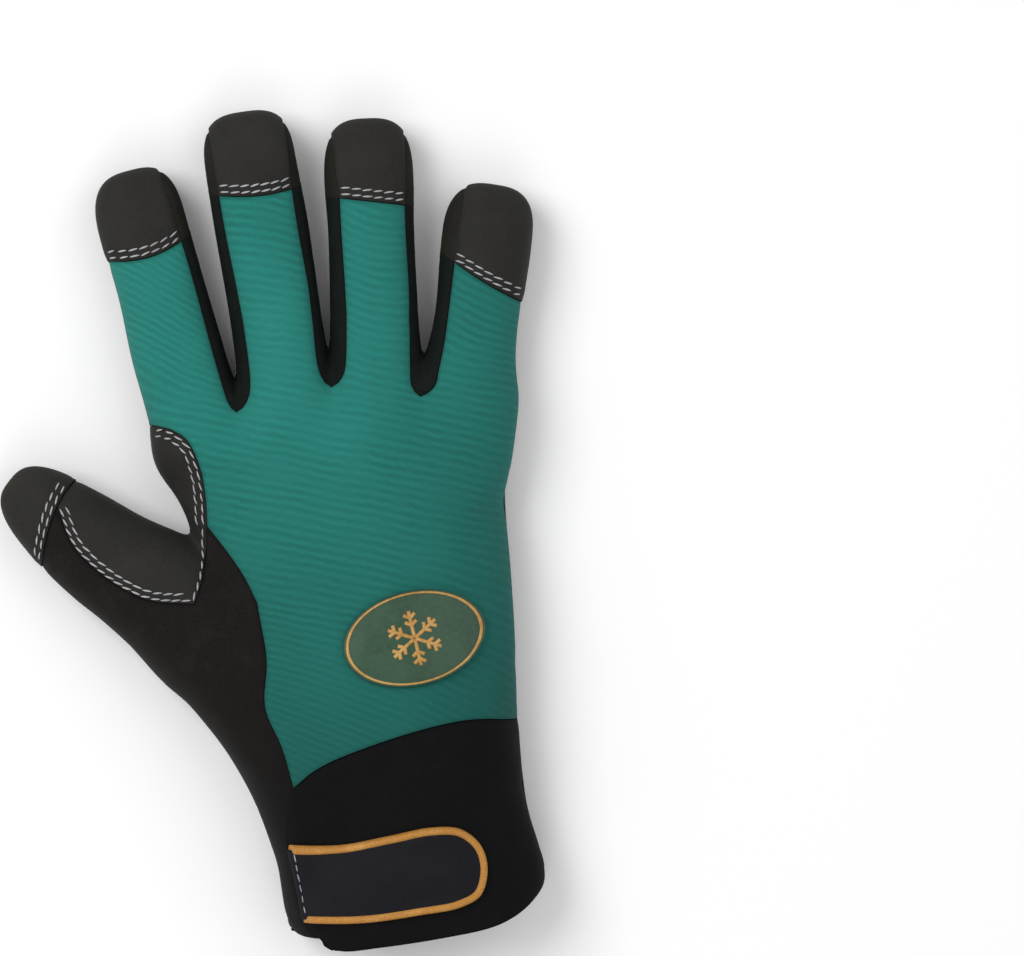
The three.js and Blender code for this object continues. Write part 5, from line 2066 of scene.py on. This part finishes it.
@dataclass
class Thumb(Piece):
    """The soft fabric along the thumb down to the cuff, and the saddle over the web.

    Attributes:
        wall: The fabric's thickness.
        saddle_wall: The saddle's thickness.
        rows: How far the stitch rows lie from the saddle's edge.
    """

    wall: float = 1.4
    saddle_wall: float = 1.6
    rows: Point = (0.9, 2.8)

    def build(self) -> None:
        """Builds the fabric and the saddle."""
        pattern = self.pattern
        seams, patch = pattern.seams, pattern.patch
        tip = np.tile(np.array(JOIN["spike_tip"], float), (STEPS["spike"] + 1, 1))
        thenar_top, base = pattern.run("thumb_base_top spike_base"), pattern.run("heel_band palm_base")
        under = pattern.under_seam(STEPS["thumb"])
        outer, thenar = pattern.thumb_outer, seams["thenar_outer"]
        grids = [
            patch(seams["thumb_base_top"], pattern.thumb_top[0], outer, pattern.saddle_back, Side.BACK),
            patch(seams["cuff_top_left"], thenar_top, thenar, seams["green_low"], Side.BACK),
            patch(seams["spike_base"], tip, seams["saddle_spike"], seams["green_spike"], Side.BACK),
            patch(base, pattern.thumb_palm[0], outer, under, Side.PALM),
            patch(seams["cuff_palm_left"], seams["heel_band"], thenar, seams["palm_thenar"], Side.PALM),
        ]
        flush = [self.form.lift(seams["cuff_top_left"])]
        self.tailor.wall("thumb_side", grids, self.wall, "side", "side_fabric", flush=flush)
        self.build_saddle()

    def build_saddle(self) -> None:
        """Builds the saddle and its stitch rows."""
        pattern = self.pattern
        seams, patch = pattern.seams, pattern.patch
        count = STEPS["thumb"] + STEPS["spike"]
        outline, under_end = pattern.saddle_outline, pattern.thumb_palm[1][::-1]
        top_line = joined(pattern.saddle_back[::-1], seams["saddle_spike"], seams["green_high"])
        palm_line = joined(pattern.under_seam(count)[::-1], seams["palm_web"])
        grids = [
            patch(top_line, outline, pattern.thumb_top[1], seams["saddle_end_top"], Side.BACK),
            patch(outline, palm_line, under_end, seams["saddle_end_palm"][::-1], Side.PALM),
        ]
        rows, channels = [], []
        upper = [*seams["green_high"][::DETAIL], *seams["saddle_end_top"][DETAIL::DETAIL]]
        upper = smooth_line(upper, steps(60))
        parts = [(pattern.saddle_back[::-1], offset, 1.2 * offset) for offset in self.rows]
        parts += [(upper, offset, 1.6) for offset in self.rows]
        parts.append((seams["saddle_spike"], self.rows[0], 0.4))
        for path, offset, spare in parts:
            line = trimmed(beside(path, -offset), 0.6, spare, 100)
            rows.append((line, 0.0))
            channels.append(Channel(self.form.lift(line), 0.6, 0.16))
        self.tailor.wall(
            "thumb_saddle", grids, self.saddle_wall, "leather", "palm_leather", channels=channels)
        self.tailor.sew("saddle_stitches", rows, Side.BACK, "palm_leather")


@dataclass
class Cuff(Piece):
    """The smooth cuff with its stepped hem, and the dark band down its thumb side.

    Attributes:
        wall: Its thickness.
    """

    wall: float = 2.4

    def build(self) -> None:
        """Builds it."""
        pattern = self.pattern
        seams = pattern.seams
        ends = [pattern.on_rim(HEM[k]) for k in (0, -1)]
        corners = [pattern.rim[name] for name in ("cuff_left", "cuff_right")]
        sides = [
            pattern.rim_line([end, corner], STEPS["cuff"], end, corner) for end, corner in zip(ends, corners)
        ]
        known = np.linspace(0, 1, 401)
        whole = smooth_line(HEM, known)
        foot = known[np.hypot(*(whole - np.array(CUFF_BAND[-1])).T).argmin()]
        left_hem = smooth_line(HEM, np.linspace(0, foot, len(seams["cuff_top_left"])))
        left_hem = pinned(left_hem, ends[0], left_hem[-1])
        band = smooth_line(CUFF_BAND[::-1], steps(STEPS["cuff"]))
        band = pinned(band, left_hem[-1], seams["cuff_top"][0])
        spacing = shares(seams["cuff_top"])
        right_hem = pinned(smooth_line(HEM, foot + (1 - foot) * spacing), band[0], ends[1])
        palm_edge = pattern.run("cuff_palm_left cuff_palm")
        palm_hem = pinned(smooth_line(HEM, shares(palm_edge)), *ends)
        grids = [
            pattern.patch(left_hem, seams["cuff_top_left"], sides[0], band, Side.BACK),
            pattern.patch(right_hem, seams["cuff_top"], band, sides[1], Side.BACK),
            pattern.patch(palm_hem, palm_edge, *sides, Side.PALM),
        ]
        zone = np.full(len(left_hem) - 1, SIDE_SLOT)
        hem_row = smooth_line(HEM, np.linspace(0.02, 0.98, 120)) + [0, 6.5]
        channels = [
            Channel(self.form.lift(band), 0.7, 0.3),
            Channel(self.form.lift(hem_row), *ROW_GROOVE),
        ]
        flush = [self.form.lift(seams["cuff_top_left"])]
        self.tailor.wall(
            "cuff", grids, self.wall, "cuff side", "cuff_fabric", roll=0.6, channels=channels,
            zones=[zone, None, None], flush=flush,
        )


@dataclass
class PalmPads(Piece):
    """The pads and patches sewn under the palm and the digits, which the glove lies on.

    Attributes:
        thickness: How thick they are in the middle.
        thin: How thick they are at the edge.
        radius: The radius of their edges.
        crown: The share of the slow crown and how far it reaches in.
        rows: How far the stitch rows lie from their edges.
    """

    thickness: float = 1.0
    thin: float = 0.12
    radius: float = 1.2
    crown: Point = (0.22, 9.0)
    rows: Point = (1.5, 3.6)

    def cushion(self, name: str, plan: Array) -> None:
        """Makes one pad, crowned towards its middle and thin at its edges.

        Args:
            name: The CAD node that it stands for.
            plan: Its grid in plan.
        """
        border = np.vstack([plan[0], plan[:, -1], plan[-1][::-1], plan[::-1, 0]])
        border = np.column_stack([border, np.zeros(len(border))])
        flat = np.column_stack([plan.reshape(-1, 2), np.zeros(plan.shape[0] * plan.shape[1])])
        near, _ = line_distance(flat, stretches(border))
        width, depth = ROW_GROOVE
        channel = sum(np.exp(-(((near - row) / width) ** 2)) for row in self.rows)
        height = self.thickness * (self.fullness(near) - depth * channel * (near > 0.4))
        height = np.maximum(height, self.thin).reshape(plan.shape[:2])
        piece = self.tailor.overlay(
            f"{name}_cushion", plan, Side.PALM, height, "pad", "pad_leather", node=name)

    def build(self) -> None:
        """Builds the pads, the patches and their stitch rows."""
        rows: list = []
        for name, edges in PALM_PADS.items():
            south, north = (smooth_line(edges[key], steps(60, Ease.BOTH)) for key in ("south", "north"))
            west, east = (smooth_line(edges[key], steps(40)) for key in ("west", "east"))
            self.cushion(name, coons(south, north, west, east))
            ring = joined(south, east, north[::-1], west[::-1])
            rows += [(self.ring_inside(ring, offset), self.row_height(offset)) for offset in self.rows]
        for name, digit, low, high in DIGIT_PATCHES:
            share = PATCH_REACH * np.linspace(-1, 1, 31)
            south, north = (TUBES[digit].place(across_row(row, share), share) for row in (low, high))
            at = np.linspace(0, 1, 25)[:, None]
            west, east = south[0] + (north[0] - south[0]) * at, south[-1] + (north[-1] - south[-1]) * at
            self.cushion(name, coons(south, north, west, east))
            inner = np.linspace(-1, 1, 40) * (PATCH_REACH - 0.06)
            for row, sign in ((low, 1), (high, -1)):
                for offset in self.rows:
                    line = TUBES[digit].place(across_row(row, inner) + sign * offset, inner)
                    rows.append((line, self.row_height(offset)))
        self.tailor.sew("pad_stitches", rows, Side.PALM, "pad_leather")

    def row_height(self, offset: float) -> float:
        """How far a pad's face stands off the form at a stitch row."""
        return OVER + self.thickness * (float(self.fullness(np.array(offset))) - ROW_GROOVE[1]) - 0.1

    def fullness(self, near: Array) -> Array:
        """How full a pad is at distances from its edge, with a slow crown over the rounded edge."""
        share, reach = self.crown
        return (1 - share) * rounded(near, self.radius) + share * rounded(near, reach)

    def ring_inside(self, ring: Array, offset: float) -> Array:
        """A closed line drawn in by an offset, with sharp corners rounded by smoothing it.

        Args:
            ring: The pad's edge, once round.
            offset: How far to draw it in.

        Returns:
            The line.
        """
        line = read_line(ring, np.linspace(0, 1, 241))[:-1]
        for _ in range(3):
            line = (np.roll(line, 1, 0) + 2 * line + np.roll(line, -1, 0)) / 4
        run = unit(np.roll(line, -1, 0) - np.roll(line, 1, 0))
        inside = line + np.column_stack([-run[:, 1], run[:, 0]]) * offset
        for _ in range(4):
            inside = (np.roll(inside, 1, 0) + 2 * inside + np.roll(inside, -1, 0)) / 4
        return np.vstack([inside, inside[:1]])


@dataclass
class Strap(Piece):
    """The strap across the cuff with its bright binding.

    Attributes:
        outline: Its edge from the upper left round to the lower left.
        thickness: The strap's thickness.
        binding: The binding's width and height.
    """

    outline: tuple = (
        (-17.9, -95.4), (-3.1, -97.7), (12.4, -97.1), (24.8, -96.6), (33.8, -98.6), (39.1, -104.4),
        (40.0, -111.9), (36.7, -119.4), (30.1, -122.1), (17.6, -122.6), (2.2, -122.3), (-17.5, -120.1),
    )
    thickness: float = 1.3
    binding: Point = (2.7, 1.9)

    def build(self) -> None:
        """Builds the strap, its binding and the seam at its left end."""
        edge = smooth_line(self.outline, np.linspace(0, 1, 181))
        inner = beside(edge, self.binding[0] * 0.5)
        upper, arc, lower = inner[:76], inner[75:114][::-1], inner[113:][::-1]
        north, south = (read_line(line, np.linspace(0, 1, 77)) for line in (upper, lower))
        west = south[0] + (north[0] - south[0]) * np.linspace(0, 1, len(arc))[:, None]
        plan = coons(south, north, west, arc)
        height = np.full(plan.shape[:2], self.thickness)
        self.tailor.overlay("strap_inlay", plan, Side.BACK, height, "strap", "strap_leather", node="strap")
        self.bind(edge)
        row = (np.linspace([-16.3, -97.6], [-16.0, -117.6], 40), OVER + self.thickness)
        thread = Thread(length=3.0, pitch=2.9, radius=0.2, arch=0.12, slant=2.0)
        self.tailor.sew("strap_end_stitches", [row], Side.BACK, "strap_leather", thread)

    def bind(self, edge: Array) -> None:
        """Makes the binding: a rounded profile h sqrt(1 - u^2)^0.8 carried along the strap's edge.

        Args:
            edge: That edge, in plan.
        """
        width, rise = self.binding
        across = -np.cos(np.linspace(0, np.pi, 13))
        plan = np.array([beside(edge, width * (0.5 + 0.5 * u)) for u in across])
        profile = rise * np.maximum(1 - across**2, 0.02) ** 0.4
        fade = np.clip(np.minimum(np.arange(len(edge)), np.arange(len(edge))[::-1]) / 3.0, 0.25, 1)
        height = profile[:, None] * fade[None]
        self.tailor.overlay(
            "strap_edge_binding", plan, Side.BACK, height, "binding", "binding_tape", node="strap_binding")


@dataclass
class Badge(Piece):
    """An oval rubber badge: a soft plate with a raised golden ring and a plain snow star.

    Attributes:
        name: The CAD node that it stands for.
        centre: Its middle in plan.
        half: Its half length and half width.
        turn: How far it is turned, in degrees.
        side: The side of the glove.
        rise: The height of its rim and of its plate.
    """

    name: str
    centre: Point
    half: Point
    turn: float
    side: Side
    rise: Point

    def place(self, x: Array, y: Array) -> Array:
        """Finds plan points on the badge.

        Args:
            x: Lengths along it from its middle.
            y: Lengths across it.

        Returns:
            Plan points, with a last axis of two.
        """
        angle = math.radians(self.turn)
        return np.stack([
            self.centre[0] + x * math.cos(angle) - y * math.sin(angle),
            self.centre[1] + x * math.sin(angle) + y * math.cos(angle),
        ], -1)

    def build(self) -> None:
        """Builds the plate, its ring and its star."""
        rim, plate = self.rise
        share = steps(28, Ease.END)[:, None]
        plan = self.oval(share)
        wall = rounded((1 - share) * min(self.half), 1.1)
        lip = np.exp(-(((share - 0.975) / 0.03) ** 2))
        height = (plate * (1 + 0.18 * (1 - share**2)) + (rim - plate) * lip) * wall + 0.05
        height = np.broadcast_to(height, plan.shape[:2])
        self.tailor.overlay(
            f"{self.name}_plate", plan, self.side, height, "rubber", "badge_rubber", node=self.name)
        self.ring(0.93, 0.022)
        if self.side is Side.BACK:
            self.star()

    def oval(self, share: Array) -> Array:
        """Ovals at shares of the badge's size, as a grid of plan points."""
        around = np.linspace(0, 2 * np.pi, 97) % (2 * np.pi)
        return self.place(self.half[0] * share * np.cos(around), self.half[1] * share * np.sin(around))

    def ring(self, at: float, half_width: float) -> None:
        """Makes the golden ring: a rounded profile carried round the oval.

        Args:
            at: The share of the badge's size at its middle.
            half_width: Half its width, as such a share.
        """
        u = -np.cos(np.linspace(0, np.pi, 9))[:, None]
        plan = self.oval(at + half_width * u)
        height = np.broadcast_to(0.08 + 0.42 * np.sqrt(np.maximum(1 - u**2, 0)), plan.shape[:2])
        self.tailor.overlay(
            f"{self.name}_ring", plan, self.side, height, "gold", "badge_rubber", base=OVER + self.rise[1])

    def star(self) -> None:
        """Makes a plain six-armed snow star from short raised bars."""
        size = self.half[1] * 0.58
        bars = []
        for k in range(6):
            angle = math.radians(60 * k + 30)
            ahead = np.array([math.cos(angle), math.sin(angle)])
            bars.append((ahead * 0.02 * size, ahead * size))
            for reach in (0.48, 0.74):
                for bend in (-1, 1):
                    off = angle + bend * math.radians(55)
                    tip = ahead * size * reach + np.array([math.cos(off), math.sin(off)]) * size * 0.26
                    bars.append((ahead * size * reach, tip))
        u = -np.cos(np.linspace(0, np.pi, 7))[:, None]
        t = np.linspace(0, 1, 7)[None]
        blocks = []
        for start, end in bars:
            run = end - start
            side = np.array([-run[1], run[0]]) / np.hypot(*run)
            x = start[0] + run[0] * t + side[0] * 0.55 * u
            y = start[1] + run[1] * t + side[1] * 0.55 * u
            plan = self.place(x, y)
            surface = self.form.lift(plan, self.side).reshape(-1, 3)
            normal = self.form.normal(surface)
            taper = np.minimum(1, np.minimum(t, 1 - t) * 8 + 0.3)
            profile = 0.36 * np.sqrt(np.maximum(1 - u**2, 0)) * taper
            base = self.form.relief(surface) + OVER + self.rise[1] * 1.12
            top = surface + normal * (base + 0.06 + profile.ravel())[:, None]
            bottom = surface + normal * (base - 0.1)[:, None]
            own = grid_triangles(7, 7)
            if (face_normals(top, own) * normal[own[:, 0]]).sum() < 0:
                own = own[:, ::-1]
            blocks.append(plate(top, bottom, own))
        fit(make_mesh(f"{self.name}_star", *gather(blocks), [self.tailor.finishes["gold"]]), "badge_rubber")


@dataclass
class Studio:
    """The plain pale floor, the soft lights and the camera straight above.

    Attributes:
        lens: The camera's focal length in millimetres.
        height: The camera's height.
        turn: How far the picture is turned against the glove, in degrees.
        shift: The lens shift that frames the glove where the photograph has it.
    """

    lens: float = 180.0
    height: float = 1.594
    turn: float = -9.0
    shift: Point = (0.2135, 0.0507)

    def build(self) -> None:
        """Builds the floor, the lights and the camera."""
        scene = bpy.context.scene
        mesh = bpy.data.meshes.new("studio_floor")
        mesh.from_pydata([(x, y, 0.0) for y in (-3.0, 3.0) for x in (-3.0, 3.0)], [], [(0, 1, 3, 2)])
        floor = bpy.data.objects.new("studio_floor", mesh)
        scene.collection.objects.link(floor)
        material = bpy.data.materials.new("studio_paper")
        material.use_nodes = True
        Graph(material.node_tree).feed(material.node_tree.nodes["Principled BSDF"], {
            "Base Color": (0.98, 0.98, 0.98, 1.0), "Roughness": 0.9, "Specular IOR Level": 0.1})
        mesh.materials.append(material)
        world = bpy.data.worlds.new("studio_world")
        world.use_nodes = True
        background = world.node_tree.nodes["Background"]
        Graph(world.node_tree).feed(background, {"Color": (1.0, 1.0, 1.0, 1.0), "Strength": 0.5})
        scene.world = world
        self.light("key_light", (-0.75, 0.55, 1.25), 0.9, 13.0)
        self.light("fill_light", (0.95, 0.15, 1.1), 1.2, 3.5)
        self.light("low_light", (-0.1, -1.0, 0.9), 1.0, 2.5)
        camera_data = bpy.data.cameras.new("studio_camera")
        camera_data.lens = self.lens
        camera_data.sensor_width = 36.0
        camera_data.shift_x, camera_data.shift_y = self.shift
        camera_data.clip_end = 20.0
        camera = bpy.data.objects.new("studio_camera", camera_data)
        camera.location = (0.0, 0.0, self.height)
        camera.rotation_euler = (0.0, 0.0, math.radians(self.turn))
        scene.collection.objects.link(camera)
        scene.camera = camera
        scene.view_settings.view_transform = "Standard"

    def light(self, name: str, place: Row, size: float, power: float) -> None:
        """Hangs a soft square light that faces the glove.

        Args:
            name: Its name.
            place: Where it hangs, in metres.
            size: The length of its sides.
            power: Its power in watts.
        """
        data = bpy.data.lights.new(name, "AREA")
        data.size, data.energy = size, power
        obj = bpy.data.objects.new(name, data)
        obj.location = place
        obj.rotation_euler = (-Vector(place)).to_track_quat("-Z", "Y").to_euler()
        bpy.context.scene.collection.objects.link(obj)


def main() -> None:
    """Builds the glove piece by piece."""
    logging.basicConfig(level=logging.INFO, format="%(message)s")
    Studio().build()
    effects = Effects()
    finishes = {key: finish.material(effects) for key, finish in FINISHES.items()}
    form = HandForm(TUBES, FOLDS)
    tailor = Tailor(form, Pattern(form), finishes)
    pieces = [kind(tailor) for kind in (Back, Palm, SideStrips, Fingertips, Thumb, Cuff, PalmPads, Strap)]
    pieces += [Badge(tailor, *row) for row in BADGES]
    for piece in pieces:
        LOG.info("Building %s", type(piece).__name__)
        piece.build()


if __name__ == "__main__":
    main()
